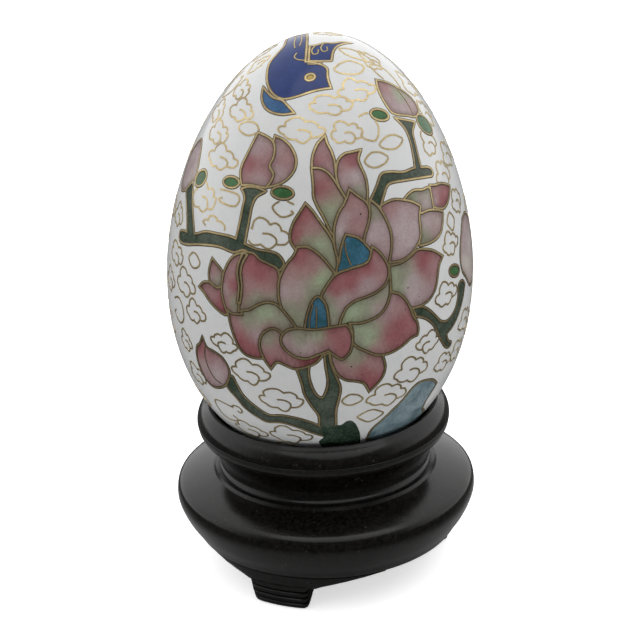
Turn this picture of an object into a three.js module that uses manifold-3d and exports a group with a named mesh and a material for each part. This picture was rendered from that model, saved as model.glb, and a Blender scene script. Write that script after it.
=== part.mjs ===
// Enamelled copper egg on a turned and carved black stand.
// Millimetres, +Z up, front faces -Y, floor at Z = 0, stand axis through the origin.
import * as THREE from 'three';
import { mergeVertices } from 'three/addons/utils/BufferGeometryUtils.js';
import Module from 'manifold-3d';

const wasm = await Module();
wasm.setup();

// ---------------------------------------------------------------- driving sizes
const EGG_HEIGHT = 71.4;
const EGG_RADIUS = 25.0;
const EGG_TAPER = 0.1265; // makes the bottom half fuller than the top half
const EGG_BLUNT = 0.0235; // fullness added at both ends
const EGG_LEAN = 2.6; // degrees, the loose egg leans to the right in its seat

const ENAMEL_THICK = 1.0;
const COPPER_THICK = 0.8;
const WIRE_WIDTH = 0.5;
const FIRED_GAP = 0.06; // modelling gap between enamel, wire and copper
const VENT_RADIUS = 1.3; // vent at the bottom pole, lets gas out in the kiln
const SEAM_HEIGHT = 32.8; // brazed joint of the two shell halves above the bottom pole

const FOOT_HEIGHT = 6.4;
const FOOT_DEPTH = 4.5;
const FOOT_CLEAR = 0.06;
const FOOT_ANGLES = { foot_front: -22, foot_right: 104, foot_left: -130 };
const BASE_HEIGHT = 11.5;
const BASE_RADIUS = 25.2;
const BASE_WIDEST = 6.7; // height of the widest turn above the feet
const BASE_LEDGE = 3.1; // width of the ledge that the spigot stands on
const SKIRT_INSET = 3.3; // the skirt under the base stands in from the widest turn
const RING_HEIGHT = 11.3; // seat ring above its joint with the base
const SEAT_LOW = 7.1; // seat band above the egg's bottom pole
const SEAT_HIGH = 9.2;
const SEAT_CLEAR = 0.4;
const COLLAR_OUT = 2.4; // the collar's roll stands out from the seat
const NECK_IN = 1.4; // the neck stands in from the seat
const NECK_SHOULDER = 1.7; // neck over spigot
const SPIGOT_DEPTH = 4.0;
const SPIGOT_CLEAR = 0.1;
const RING_WALL = 3.0;

const AROUND = 28; // facets round every turned piece
const UP_EGG = 13; // facets from pole to pole
const OUTLINE_CHORD = 0.14; // a drawn curve is followed by straight facets this closely

// ---------------------------------------------------------------- solids
function solid(geometry) {
  const g = geometry.clone();
  g.deleteAttribute('normal');
  g.deleteAttribute('uv');
  const merged = mergeVertices(g, 1e-4);
  const source = merged.index.array;
  const tris = [];
  for (let i = 0; i < source.length; i += 3) {
    const [a, b, c] = [source[i], source[i + 1], source[i + 2]];
    if (a !== b && b !== c && c !== a) tris.push(a, b, c);
  }
  const vertProperties = new Float32Array(merged.attributes.position.array);
  if (signedVolume(vertProperties, tris) < 0) tris.reverse();
  const mesh = new wasm.Mesh({ numProp: 3, vertProperties, triVerts: new Uint32Array(tris) });
  return new wasm.Manifold(mesh);
}

function signedVolume(xyz, tris) {
  const p = [0, 1, 2].map(() => new THREE.Vector3());
  let sum = 0;
  for (let i = 0; i < tris.length; i += 3) {
    for (let k = 0; k < 3; k += 1) p[k].fromArray(xyz, 3 * tris[i + k]);
    sum += p[0].dot(p[1].clone().cross(p[2]));
  }
  return sum;
}

function unite(list) {
  return list.reduce((sum, next) => sum.add(next));
}

// the biggest single body of a cut piece
function mainBody(piece) {
  const bodies = piece.decompose();
  return bodies.reduce((best, next) => (next.volume() > best.volume() ? next : best));
}

function lathe(profile) {
  const points = profile.map(([r, z]) => new THREE.Vector2(Math.max(r, 0), z));
  return solid(new THREE.LatheGeometry(points, AROUND).rotateX(Math.PI / 2));
}

// ---------------------------------------------------------------- egg shape
function fullness(cosine) {
  return Math.sqrt(Math.max(0, 1 - cosine * cosine))
    * (1 - EGG_TAPER * cosine + EGG_BLUNT * cosine * cosine);
}

const FULLEST = Math.max(
  ...Array.from({ length: 181 }, (_, i) => fullness(Math.cos(i * THREE.MathUtils.DEG2RAD))));

function radiusAt(z) {
  return EGG_RADIUS * fullness((2 * z) / EGG_HEIGHT - 1) / FULLEST;
}

function heightOnCrown(radius) {
  let low = EGG_HEIGHT * 0.5;
  let high = EGG_HEIGHT;
  for (let i = 0; i < 40; i += 1) {
    const mid = (low + high) / 2;
    if (radiusAt(mid) > radius) low = mid;
    else high = mid;
  }
  return low;
}

// point of the meridian at polar angle t from the top, moved inwards by inset
function meridian(t, inset) {
  const z = (EGG_HEIGHT / 2) * (1 + Math.cos(t));
  const r = radiusAt(z);
  const step = 1e-3;
  const zn = (EGG_HEIGHT / 2) * (1 + Math.cos(t + step));
  const rn = radiusAt(zn) * (t + step > Math.PI ? -1 : 1);
  const length = Math.hypot(rn - r, zn - z);
  return [r + (inset * (zn - z)) / length, z - (inset * (rn - r)) / length];
}

function shellProfile(outer, inner, angles) {
  const down = angles.map((t) => meridian(t, outer));
  const up = angles.map((t) => meridian(t, inner)).reverse();
  return [...down, ...up];
}

function steps(from, to) {
  const count = Math.round((UP_EGG * (to - from)) / Math.PI);
  return Array.from({ length: count + 1 }, (_, i) => from + ((to - from) * i) / count);
}

function closeLoop(profile) {
  return [...profile, profile[0]];
}

// All layers break at the same angles, so their facets stay parallel.
const SEAM_ANGLE = Math.acos((2 * SEAM_HEIGHT) / EGG_HEIGHT - 1);
const VENT_ANGLE = Math.PI - VENT_RADIUS / (EGG_HEIGHT / 2);
const UPPER_STEPS = steps(0, SEAM_ANGLE);
const LOWER_STEPS = steps(SEAM_ANGLE, VENT_ANGLE);

// ---------------------------------------------------------------- drawing on the egg
// Side outlines are [azimuth in degrees, height in mm]; crown outlines are [x, y] in mm seen
// from above. A third value of 1 marks a sharp corner, the rest is a smooth curve.
// The drawing is made for an egg of DRAWN_HEIGHT and DRAWN_RADIUS and stretches with the egg.
const DRAWN_HEIGHT = 71.4;
const DRAWN_RADIUS = 25.0;
const EGG_HEART = new THREE.Vector3(0, 0, EGG_HEIGHT * 0.47);

function onSide([azimuth, drawnHeight]) {
  const a = THREE.MathUtils.degToRad(azimuth);
  const z = (drawnHeight * EGG_HEIGHT) / DRAWN_HEIGHT;
  const r = radiusAt(z);
  return new THREE.Vector3(r * Math.sin(a), -r * Math.cos(a), z);
}

function onCrown([drawnX, drawnY]) {
  const x = (drawnX * EGG_RADIUS) / DRAWN_RADIUS;
  const y = (drawnY * EGG_RADIUS) / DRAWN_RADIUS;
  return new THREE.Vector3(x, y, heightOnCrown(Math.hypot(x, y)));
}

function smoothOutline(points) {
  const corner = points.findIndex((p) => p[2]);
  const from = Math.max(corner, 0);
  const turned = [...points.slice(from), ...points.slice(0, from), points[from]];
  const shape = new THREE.Shape();
  shape.moveTo(turned[0][0], turned[0][1]);
  let run = [];
  turned.slice(1).forEach((p, i) => {
    run.push(new THREE.Vector2(p[0], p[1]));
    if (p[2] || i === turned.length - 2) {
      shape.splineThru(run);
      run = [];
    }
  });
  const list = shape.getPoints(1).map((p) => [p.x, p.y]);
  list.pop();
  return THREE.ShapeUtils.isClockWise(list.map(([x, y]) => ({ x, y }))) ? list.reverse() : list;
}

// size on the egg of one unit of each outline coordinate
function unitOnEgg([, drawnHeight], crown) {
  if (crown) return [EGG_RADIUS / DRAWN_RADIUS, EGG_RADIUS / DRAWN_RADIUS];
  const stretch = EGG_HEIGHT / DRAWN_HEIGHT;
  const z = drawnHeight * stretch;
  const slope = (radiusAt(z + 0.1) - radiusAt(z - 0.1)) / 0.2;
  return [radiusAt(z) * THREE.MathUtils.DEG2RAD, stretch * Math.hypot(1, slope)];
}

// leaves out the points that lie closer to the chord of their neighbours than OUTLINE_CHORD
function thin(points, crown) {
  const kept = [...points];
  for (;;) {
    const rises = kept.map((p, i) => {
      const [ux, uy] = unitOnEgg(p, crown);
      const a = kept[(i + kept.length - 1) % kept.length];
      const b = kept[(i + 1) % kept.length];
      const dx = (b[0] - a[0]) * ux;
      const dy = (b[1] - a[1]) * uy;
      const cross = dx * (p[1] - a[1]) * uy - dy * (p[0] - a[0]) * ux;
      return Math.abs(cross) / (Math.hypot(dx, dy) || 1);
    });
    const flattest = rises.indexOf(Math.min(...rises));
    if (rises[flattest] > OUTLINE_CHORD || kept.length < 7) return kept;
    kept.splice(flattest, 1);
  }
}

// widens (or narrows) an outline by a distance measured on the egg
function grow(points, distance, crown) {
  return points.map((p, i) => {
    const [ux, uy] = unitOnEgg(p, crown);
    const back = points[(i + points.length - 1) % points.length];
    const next = points[(i + 1) % points.length];
    const normals = [[back, p], [p, next]].map(([a, b]) => {
      const dx = (b[0] - a[0]) * ux;
      const dy = (b[1] - a[1]) * uy;
      const length = Math.hypot(dx, dy) || 1;
      return [dy / length, -dx / length];
    });
    const [n, m] = normals;
    const share = Math.max(1 + n[0] * m[0] + n[1] * m[1], 0.7);
    const reach = distance / share;
    return [p[0] + (reach * (n[0] + m[0])) / ux, p[1] + (reach * (n[1] + m[1])) / uy];
  });
}

// wedge from near the egg's heart outwards with the outline as its section
function wedge(points, crown) {
  const shape = new THREE.Shape(points.map(([x, y]) => new THREE.Vector2(x, y)));
  const g = new THREE.ExtrudeGeometry(shape, { depth: 1, bevelEnabled: false });
  const position = g.attributes.position;
  for (let i = 0; i < position.count; i += 1) {
    const flat = [position.getX(i), position.getY(i)];
    const ray = (crown ? onCrown(flat) : onSide(flat)).sub(EGG_HEART);
    ray.multiplyScalar(position.getZ(i) > 0.5 ? 1.4 : 0.7).add(EGG_HEART);
    position.setXYZ(i, ray.x, ray.y, ray.z);
  }
  return solid(g);
}

function cutter(cell, distance) {
  const crown = Boolean(cell.crown);
  const outlines = crown ? cell.crown : cell.side;
  return unite(outlines.map((o) => wedge(grow(thin(smoothOutline(o), crown), distance, crown), crown)));
}

// ---------------------------------------------------------------- the drawing, front cells first
function oval(azimuth, z, wide, high, tilt = 0) {
  const points = [];
  for (let i = 0; i < 10; i += 1) {
    const t = (i * Math.PI) / 5;
    points.push([
      azimuth + wide * Math.cos(t) - tilt * high * Math.sin(t),
      z + high * Math.sin(t) + tilt * Math.cos(t),
    ]);
  }
  return points;
}

const PINK = 0xb9707c;
const PALE = 0xb8b49c;
const GREEN = 0x2f4a3a;
const LEAF = 0x2f8048;
const BLUE = 0x2b3f8f;
const TURQUOISE = 0x2c7ea6;

const BLOSSOM = [
  { name: 'petal_01_front_roll', colour: PINK, wire: true, side: [[
    [-14.8, 30], [-12.8, 31.4], [-8.9, 32], [-3, 31.9], [3, 32.3], [8.4, 32.6, 1], [10.3, 31.4],
    [10.7, 29.7], [9.8, 27.9], [7.2, 26.8], [4.7, 27.4], [2.2, 28.3, 1], [-1.5, 27.6],
    [-5.5, 26.9], [-10, 27.2], [-13.6, 28.5]]] },
  { name: 'petal_02_front_curl', colour: PINK, wire: true, side: [[
    [-22.8, 28.2], [-22.2, 29.9], [-20, 31.1], [-16.5, 31.5], [-11, 30], [-4, 29], [1, 28.2, 1],
    [-2, 26.3], [-6.4, 25.3], [-10.2, 25], [-14, 25.6], [-16.5, 25.8], [-18.7, 24.5, 1], [-21.3, 26.2]]] },
  { name: 'stamen_front', colour: TURQUOISE, wire: false, side: [[
    [-1.8, 37.2], [-4, 36.2], [-5.5, 34.1], [-6.4, 31.6, 1], [2.4, 31.6, 1], [1.8, 34.6], [0.6, 36.3]]] },
  { name: 'petal_03_right_roll', colour: PINK, wire: true, side: [[
    [-0.2, 37.8, 1], [2, 39.3], [5, 40.7], [10, 41.4], [16.5, 42.2], [18.6, 44.4, 1], [21.2, 43.5],
    [23.8, 41.9], [24.7, 40.3], [23.2, 38.5], [19.5, 37.4], [15.5, 36.8], [12, 36.4], [9, 35.6],
    [7, 34.4], [5.8, 32.2, 1], [1, 31.6, 1], [0.6, 35]]] },
  { name: 'petal_04_centre', colour: PALE, wire: false, side: [[
    [-9.7, 44.6, 1], [-6, 44.7], [-2.6, 44], [0.8, 42.7], [4.4, 40.8, 1], [1.5, 39], [-0.5, 37.4, 1],
    [-1, 31.6, 1], [-8, 31.6, 1], [-10.8, 33.8], [-14, 35.6], [-15.8, 37.4], [-15.8, 39.5],
    [-13.6, 41.8], [-10.8, 43.4]]] },
  { name: 'petal_05_left_lower', colour: PINK, wire: false, side: [[
    [-35.8, 33.1, 1], [-32.5, 32.5], [-29.5, 32.9], [-26.4, 34.1], [-23.2, 35.1], [-19.8, 35.7],
    [-16.4, 35.5], [-13.2, 34.3], [-10, 32.6], [-8.2, 31.2, 1], [-14, 30, 1], [-20, 26.3, 1],
    [-25.4, 26], [-29.4, 26.5], [-32, 28], [-34.2, 30.4]]] },
  { name: 'stamen_back', colour: TURQUOISE, wire: false, side: [[
    [8.6, 46.5, 1], [7, 45], [6.2, 43.3], [5.9, 41.2, 1], [17, 42, 1], [18.6, 43.4, 1], [16.6, 44.6],
    [13.4, 45.9]]] },
  { name: 'petal_06_right_green', colour: PALE, wire: false, side: [[
    [25, 40, 1], [24.9, 37.2], [23.6, 35.3], [21.2, 33.9], [17.5, 33.1], [12.8, 32.7], [8.8, 33.1],
    [6, 33.2, 1], [10, 37, 1], [20, 38.6, 1]]] },
  { name: 'petal_07_upper_centre', colour: PINK, wire: false, side: [[
    [11, 52.9, 1], [14.5, 51.9], [17.8, 50.9], [18.9, 49.6], [17.9, 47.9], [15.9, 46], [15.4, 44.6, 1],
    [8, 45.6, 1], [6, 42.5, 1], [4.3, 44.6], [4.2, 47.4], [6, 49.6], [9, 51.2]]] },
  { name: 'petal_08_left_centre', colour: PALE, wire: false, side: [[
    [-7.3, 51, 1], [-4.4, 50], [-0.7, 48.2], [2.6, 46.4], [4.6, 44.6], [5.3, 42.4], [4.6, 40.4, 1],
    [-4, 43.4, 1], [-9.8, 44, 1], [-12.4, 45.4], [-12.6, 46.8], [-11.4, 48.4], [-9.2, 49.8]]] },
  { name: 'petal_09_left_pink', colour: PINK, wire: false, side: [[
    [-29.8, 42.8, 1], [-25.5, 42.1], [-21, 41.1], [-17.4, 40.4], [-16, 39], [-15.9, 37], [-14.6, 35, 1],
    [-20, 35, 1], [-28.6, 33.2, 1], [-28.6, 36], [-29.6, 38.5], [-29.9, 40.8]]] },
  { name: 'petal_10_left_spire', colour: PINK, wire: false, side: [[
    [-31.4, 42.6, 1], [-34.9, 41.8], [-37.2, 40.3], [-38.6, 38.4], [-38.8, 36], [-37.6, 34.2],
    [-35.8, 32.6, 1], [-29.6, 33, 1], [-30.8, 36.5], [-31.6, 39.5]]] },
  { name: 'petal_11_lower_right', colour: PINK, wire: false, side: [[
    [25.3, 37, 1], [28.4, 36.5], [31, 35.4], [33, 33.9], [34.4, 32.4], [36.2, 31.2], [37, 29.8],
    [36.6, 28.9, 1], [33.6, 28.6], [30.6, 27.8], [27, 27.1], [23.4, 26.8], [19.6, 27], [16, 27.8],
    [12.6, 28.7], [10.4, 29.6, 1], [10.6, 31.4], [9.4, 32.8, 1], [17, 32.6, 1]]] },
  { name: 'petal_12_bottom', colour: PINK, wire: false, side: [[
    [2.7, 28, 1], [3.4, 26.2], [5.6, 24.1], [8.8, 23], [12.6, 22.6], [15.6, 22.1], [17.2, 21.2],
    [18.3, 20.3, 1], [21, 21.5], [23.2, 23], [23.7, 24.6], [22.8, 26], [22, 27.2, 1], [10, 29, 1],
    [6, 27.4, 1]]] },
  { name: 'petal_13_upper_right', colour: PINK, wire: false, side: [[
    [19.4, 51.2, 1], [22.7, 50.1], [25.2, 48.3], [26.8, 46.3], [26.7, 44.2], [25.4, 42.2],
    [24.4, 41.2, 1], [21, 43.4, 1], [18.4, 44.2, 1], [16, 45.4, 1], [18.2, 48.4, 1]]] },
  { name: 'petal_14_spire', colour: PALE, wire: false, side: [[
    [-5.4, 55.9, 1], [-1.6, 55.9], [1.8, 55.4], [4.3, 54.5], [6.5, 53.3], [9.4, 51.6, 1], [6, 49, 1],
    [4.6, 46, 1], [2.4, 47.3], [0, 49.1], [-2.4, 50.6], [-4.1, 52], [-4.4, 53.6]]] },
  { name: 'petal_15_spire_tip', colour: PINK, wire: false, side: [[
    [0.9, 60.3, 1], [1.9, 59.3], [3.9, 58.2], [5.2, 56.8], [5.5, 55.2], [6, 53.8, 1], [1.6, 55.2, 1],
    [-5.2, 55.5, 1], [-5.2, 57.4], [-3.4, 59], [-1, 59.8]]] },
  { name: 'petal_16_spire_right', colour: PINK, wire: false, side: [[
    [18.6, 58.2, 1], [14.5, 58], [10.2, 57.8], [7, 57], [5.7, 55.6], [6.2, 53.8], [9.4, 51.6, 1],
    [18.2, 50.8, 1], [19, 52.6], [18.8, 54.4], [17.3, 55.9], [16.6, 57]]] },
  { name: 'petal_17_right_large', colour: PINK, wire: false, side: [[
    [23.6, 50.1, 1], [26.5, 50.5], [30.4, 50.7], [34.4, 50.4], [39, 49.8], [43.2, 48.8, 1], [41.4, 47.4],
    [40.9, 45.9], [40.3, 44.4], [37.6, 43.1], [34, 42.1], [30, 41.6], [25.2, 41.6, 1], [25.6, 45, 1]]] },
  { name: 'petal_18_right', colour: PINK, wire: false, side: [[
    [25, 41.2, 1], [30.2, 41.3], [34.7, 42], [38, 42.6], [42, 42.3], [46.2, 41.6], [51, 40.2, 1],
    [48.6, 39.2], [47.4, 38], [46.4, 36.6], [44.9, 35.3], [42, 34.2], [38, 33.7], [33.6, 33.7, 1],
    [29, 36, 1], [25.2, 37.2, 1]]] },
  { name: 'petal_19_far_right', colour: PALE, wire: false, side: [[
    [42, 47.7, 1], [46.8, 47.8], [51.6, 47.4], [56, 46.7, 1], [54.4, 45.4], [52.4, 44.1], [49, 43.3],
    [44.2, 43], [39, 43.1, 1], [40.6, 45.4, 1]]] },
  { name: 'petal_20_far_tip', colour: PINK, wire: false, side: [[
    [51.3, 51.2, 1], [54.6, 50.9], [59, 50.7], [63.2, 50.2], [67.2, 49.4, 1], [64.4, 48.5], [61.2, 47.6],
    [57.6, 47.1], [53.6, 47.4], [50.2, 48, 1], [50.8, 49.6]]] },
];

const LEFT_SPRAY = [
  { name: 'bud_left_outer', colour: PINK, wire: true, side: [[
    [-35.9, 59.8, 1], [-31.6, 59.7], [-27, 59.4], [-24.2, 58.5], [-23.6, 57], [-22, 55.2], [-22.6, 53.8],
    [-24.2, 52.6, 1], [-28, 52.6], [-32.4, 52.6], [-36.6, 52.3, 1], [-38.7, 53.7], [-39.2, 55],
    [-38, 56.8]]] },
  { name: 'bud_left_inner', colour: PINK, wire: false, side: [[
    [-25.6, 59.8, 1], [-20.4, 59.4], [-15.9, 58.5], [-13, 57.1], [-13, 55.6], [-15.8, 54.2], [-19.6, 53.3],
    [-24, 52.6, 1], [-22.4, 55, 1]]] },
  { name: 'bud_far_left', colour: PINK, wire: false, side: [[
    [-84, 53.8], [-79, 55.4], [-74, 54.8], [-69.4, 52.8], [-67.4, 50.8], [-70, 49.2], [-74.6, 47.6],
    [-80, 47.2], [-84, 48.6], [-86, 51.2]]] },
  { name: 'leaf_left_a', colour: LEAF, wire: true, side: [oval(-43.2, 52.3, 4.2, 0.95, 0.1)] },
  { name: 'leaf_left_b', colour: LEAF, wire: false, side: [oval(-17.3, 52.2, 4.6, 0.95)] },
  { name: 'branch_left', colour: GREEN, wire: false, side: [[
    [-69, 41.2], [-67.2, 42.1], [-57, 42.9], [-50.7, 44], [-44.4, 44.4], [-36.8, 44.6], [-31, 44.1],
    [-25.4, 43.6], [-17.6, 43.4], [-14.4, 42], [-16.4, 40.8], [-20, 41.4], [-25.4, 42.3], [-30.4, 43.1],
    [-34.9, 42.4], [-41.2, 42.6], [-46.9, 42.3], [-53.9, 41.6], [-61.5, 40.6], [-67.2, 40.3]],
  [[-36.4, 51.8, 1], [-33, 52.3], [-28.5, 52.4], [-24.4, 52.1, 1], [-28.4, 51.1], [-29.8, 49.6],
    [-30, 47.4], [-30.6, 43.6, 1], [-35, 43.6, 1], [-34.2, 46], [-33.9, 49], [-34, 50.8]],
  [[-56.4, 42.4, 1], [-60, 45], [-63.4, 47], [-67, 49.4, 1], [-70.4, 50, 1], [-72.8, 47.8, 1],
    [-68.4, 46.2], [-64.4, 44], [-62, 41.4, 1]]] },
];

const UPPER_RIGHT_SPRAY = [
  { name: 'bud_upper_right', colour: PINK, wire: false, side: [[
    [46, 66.5, 1], [54.4, 65.9], [60.7, 65], [66.4, 63.9], [70, 62.6], [69.6, 61.5], [67, 60.8],
    [60.7, 60.6], [54.4, 61.2], [45, 62], [42.6, 63], [41.8, 64.4], [43, 65.6]]] },
  { name: 'leaf_upper_right', colour: LEAF, wire: false, side: [oval(34.8, 62.3, 5.8, 0.75, -0.3)] },
  { name: 'branch_upper_right', colour: GREEN, wire: false, side: [[
    [19.8, 51.2, 1], [23.2, 52.9], [26.5, 54.5], [31.6, 54.6], [37.9, 54.2], [44.9, 54.3], [50, 54],
    [54.4, 53.6], [56.3, 52.9], [55, 52.3], [50.6, 52.5], [44.2, 52.8], [37.9, 53], [31.6, 53.1],
    [28.4, 52.8], [25.9, 51.5], [23.6, 49.9, 1]],
  [[44.2, 61.5, 1], [49, 61], [54, 60.5], [58.4, 60, 1], [52.9, 59], [51, 57.4], [49.8, 55.6],
    [49, 53.4, 1], [44.6, 53.4, 1], [46.8, 56], [48.2, 58], [48, 59.8]]] },
];

const RIGHT_SPRAY = [
  { name: 'bud_right', colour: PINK, wire: false, side: [[
    [63.4, 38.4], [66, 41], [71, 43.6, 1], [77, 43.8], [83, 42], [86, 38.2], [85, 34.6], [79, 32],
    [73, 32.2], [67.8, 34.4], [64.4, 36]]] },
  { name: 'leaf_right', colour: LEAF, wire: false, side: [oval(58, 36.9, 3.8, 0.9, -0.5)] },
  { name: 'branch_right', colour: GREEN, wire: false, side: [[
    [34.2, 33.6, 1], [38.2, 33.5], [42, 32.5], [45.6, 31], [48.9, 29.7], [53.1, 29.3], [57.6, 30.3],
    [59.8, 32], [60.6, 34.2], [64, 34.4], [66.8, 33.4, 1], [64.4, 31], [60.7, 28.8], [56.9, 27.5],
    [53.4, 26.8], [55, 25.4], [57.9, 24.6], [56.9, 24], [53.7, 24.5], [49.9, 26.2], [47.2, 28],
    [44, 29.9], [39.8, 31.4], [35.8, 32.1, 1]]] },
];

const LOWER_LEFT_SPRAY = [
  { name: 'bud_lower_left', colour: PINK, wire: true, side: [[
    [-48.9, 27, 1], [-46.9, 25.4], [-43.1, 25.1], [-39.2, 24.5], [-36.8, 22.9], [-37.1, 21.3],
    [-39.4, 19.6], [-43.1, 18.4], [-48.2, 17.8], [-52, 18.6], [-54, 20.3], [-54.5, 22.6], [-53.2, 24.5],
    [-50.8, 25.5]]] },
  { name: 'branch_lower_left', colour: GREEN, wire: false, side: [[
    [-38.6, 20.6], [-35.6, 21.6], [-34, 20.2], [-31.7, 18.2], [-26.6, 16.4], [-21.6, 15.3], [-15.9, 15.6],
    [-9.6, 15.3], [-3.2, 14.4], [0.4, 13.4, 1], [0.8, 11.4, 1], [-3.9, 12.1], [-9.6, 13.2], [-15.9, 13.9],
    [-20.3, 13.8], [-24.1, 13.6], [-28.5, 14.4], [-33, 15.7], [-35.8, 17.3], [-39.3, 19]]] },
];

const FOOT_OF_THE_TREE = [
  { name: 'trunk_fork', colour: GREEN, wire: false, side: [[
    [-9.3, 25.2, 1], [-7.4, 22.4], [-6.4, 20.3], [-3.9, 18.1], [-1, 16], [-0.8, 13.6, 1], [6.4, 13.6, 1],
    [5.8, 17], [6.6, 19.4], [6.9, 21.7], [4.8, 24.1], [3.2, 26], [2.4, 28, 1], [0.8, 27.6, 1],
    [1.3, 25.6], [2.2, 22.9], [1.6, 21], [0.2, 19.8], [-1.9, 20.3], [-3.6, 21.8], [-4.8, 24], [-4.6, 25.6, 1]]] },
  { name: 'moss_mound', colour: 0x22382c, wire: false, side: [[
    [-1, 13.5, 1], [-1, 12.2], [1.4, 11.2], [-0.8, 9.8], [1, 8.2, 1], [10, 7.6], [21.2, 8.4, 1],
    [18.6, 11.1], [17, 12.4], [14.8, 13.9], [12.6, 14.7], [10.6, 14.6], [8.6, 13.9], [6.6, 13.9, 1]]] },
  { name: 'rock_slope', colour: 0x7fa9b4, wire: false, side: [[
    [23.4, 10.6], [24.2, 12.2], [27.8, 13.9], [31, 15.5], [34.7, 17.1], [37.9, 18.9], [41.2, 19.7],
    [46.1, 19.5], [50.6, 18.8], [55, 17.4, 1], [52.2, 14.2], [54.4, 12.3], [60, 10.8], [60, 8.8, 1],
    [38, 8.2], [25.4, 9]]] },
];

const BIRD = [
  { name: 'bird_eye', colour: 0xd8b13a, wire: false, crown: [oval(-1.6, -9.85, 1.0, 0.65)] },
  { name: 'bird_body', colour: BLUE, wire: true, crown: [[
    [1.2, -11.6, 1], [-1, -11.9], [-4, -12.2], [-6.2, -11.8], [-7.7, -10.4], [-8.5, -8.5], [-8.6, -6.5],
    [-8.2, -4.5], [-7, -3], [-6, -1.6], [-5.7, 0.4], [-5.4, 2.2], [-4.6, 2.8], [-3.9, 2], [-3.2, 2.6],
    [-2.5, 1.8], [-2.4, -1], [-2.5, -4.4], [-2.7, -7.3, 1], [-0.4, -8.1], [0.6, -8.8], [0.7, -10.2]]] },
  { name: 'bird_wing', colour: BLUE, wire: false, crown: [[
    [-2.2, -7.3, 1], [-2.1, -5.4], [-2, -3.9, 1], [-0.9, -3.8], [0.4, -3.2], [1.7, -3.1], [3, -2.2],
    [4.7, -1.5, 1], [3.3, -2.7], [2.2, -4], [1.6, -5.4], [1.3, -7.4, 1], [-0.5, -7.5]]] },
  { name: 'bird_tail', colour: 0x4263a8, wire: false, crown: [[
    [-9.2, -8.4, 1], [-8.6, -9.6], [-7.6, -11], [-6.2, -12], [-5.6, -12.7], [-4.4, -14, 1],
    [-6.2, -13.6], [-7.8, -12.7], [-8.9, -11.5], [-9.4, -10]]] },
];

// ---------------------------------------------------------------- egg pieces
const pieces = [];

function addPiece(name, piece, colour, roughness, metalness, onEgg) {
  pieces.push({ name, piece, colour, roughness, metalness, onEgg });
}

function copperShell() {
  const outer = ENAMEL_THICK + FIRED_GAP;
  const inner = outer + COPPER_THICK;
  const lift = FIRED_GAP / EGG_HEIGHT; // half the brazed gap as an angle
  const upper = [...UPPER_STEPS.slice(0, -1), SEAM_ANGLE - lift];
  const lower = [SEAM_ANGLE + lift, ...LOWER_STEPS.slice(1)];
  addPiece('copper_shell_upper', lathe(shellProfile(outer, inner, upper)), 0xb87350, 0.4, 0.9, true);
  addPiece('copper_shell_lower', lathe(closeLoop(shellProfile(outer, inner, lower))), 0xb87350, 0.4, 0.9, true);
}

function enamelAndWires() {
  const enamel = lathe(shellProfile(0, ENAMEL_THICK, [...UPPER_STEPS, ...LOWER_STEPS.slice(1)]));
  const cells = [...BLOSSOM, ...LEFT_SPRAY, ...UPPER_RIGHT_SPRAY, ...RIGHT_SPRAY, ...LOWER_LEFT_SPRAY,
    ...FOOT_OF_THE_TREE, ...BIRD];
  const half = WIRE_WIDTH / 2;
  let taken = null;
  for (const cell of cells) {
    const opening = cutter(cell, cell.wire ? half + FIRED_GAP : FIRED_GAP / 2);
    let fill = enamel.intersect(cutter(cell, cell.wire ? -half - FIRED_GAP : -FIRED_GAP / 2));
    if (taken) fill = fill.subtract(taken);
    addPiece(cell.name, mainBody(fill), cell.colour, 0.35, 0, true);
    if (cell.wire) {
      let band = enamel.intersect(cutter(cell, half)).subtract(cutter(cell, -half));
      if (taken) band = band.subtract(taken);
      addPiece(`wire_${cell.name}`, mainBody(band), 0xc9a14c, 0.3, 0.9, true);
    }
    taken = taken ? taken.add(opening) : opening;
  }
  const white = enamel.subtract(taken).decompose().sort((a, b) => b.volume() - a.volume());
  addPiece('enamel_ground', white[0], 0xe9e8e4, 0.3, 0, true);
  addPiece('enamel_fork_window', white[1], 0xe9e8e4, 0.3, 0, true);
}

// ---------------------------------------------------------------- stand pieces
// Heights run upwards from the floor: feet, base, seat ring, and the egg hangs in the seat.
const PARTING_HEIGHT = FOOT_HEIGHT + BASE_HEIGHT;
const LIP_HEIGHT = PARTING_HEIGHT + RING_HEIGHT;
const EGG_FLOOR = LIP_HEIGHT - SEAT_HIGH;
const SEAT_RADIUS = radiusAt(SEAT_HIGH) + SEAT_CLEAR;
const COLLAR_RADIUS = SEAT_RADIUS + COLLAR_OUT;
const NECK_RADIUS = SEAT_RADIUS - NECK_IN;
const SPIGOT_RADIUS = NECK_RADIUS - NECK_SHOULDER;
const SKIRT_RADIUS = BASE_RADIUS - SKIRT_INSET;
const FOOT_INNER = SKIRT_RADIUS - FOOT_DEPTH;

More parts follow.
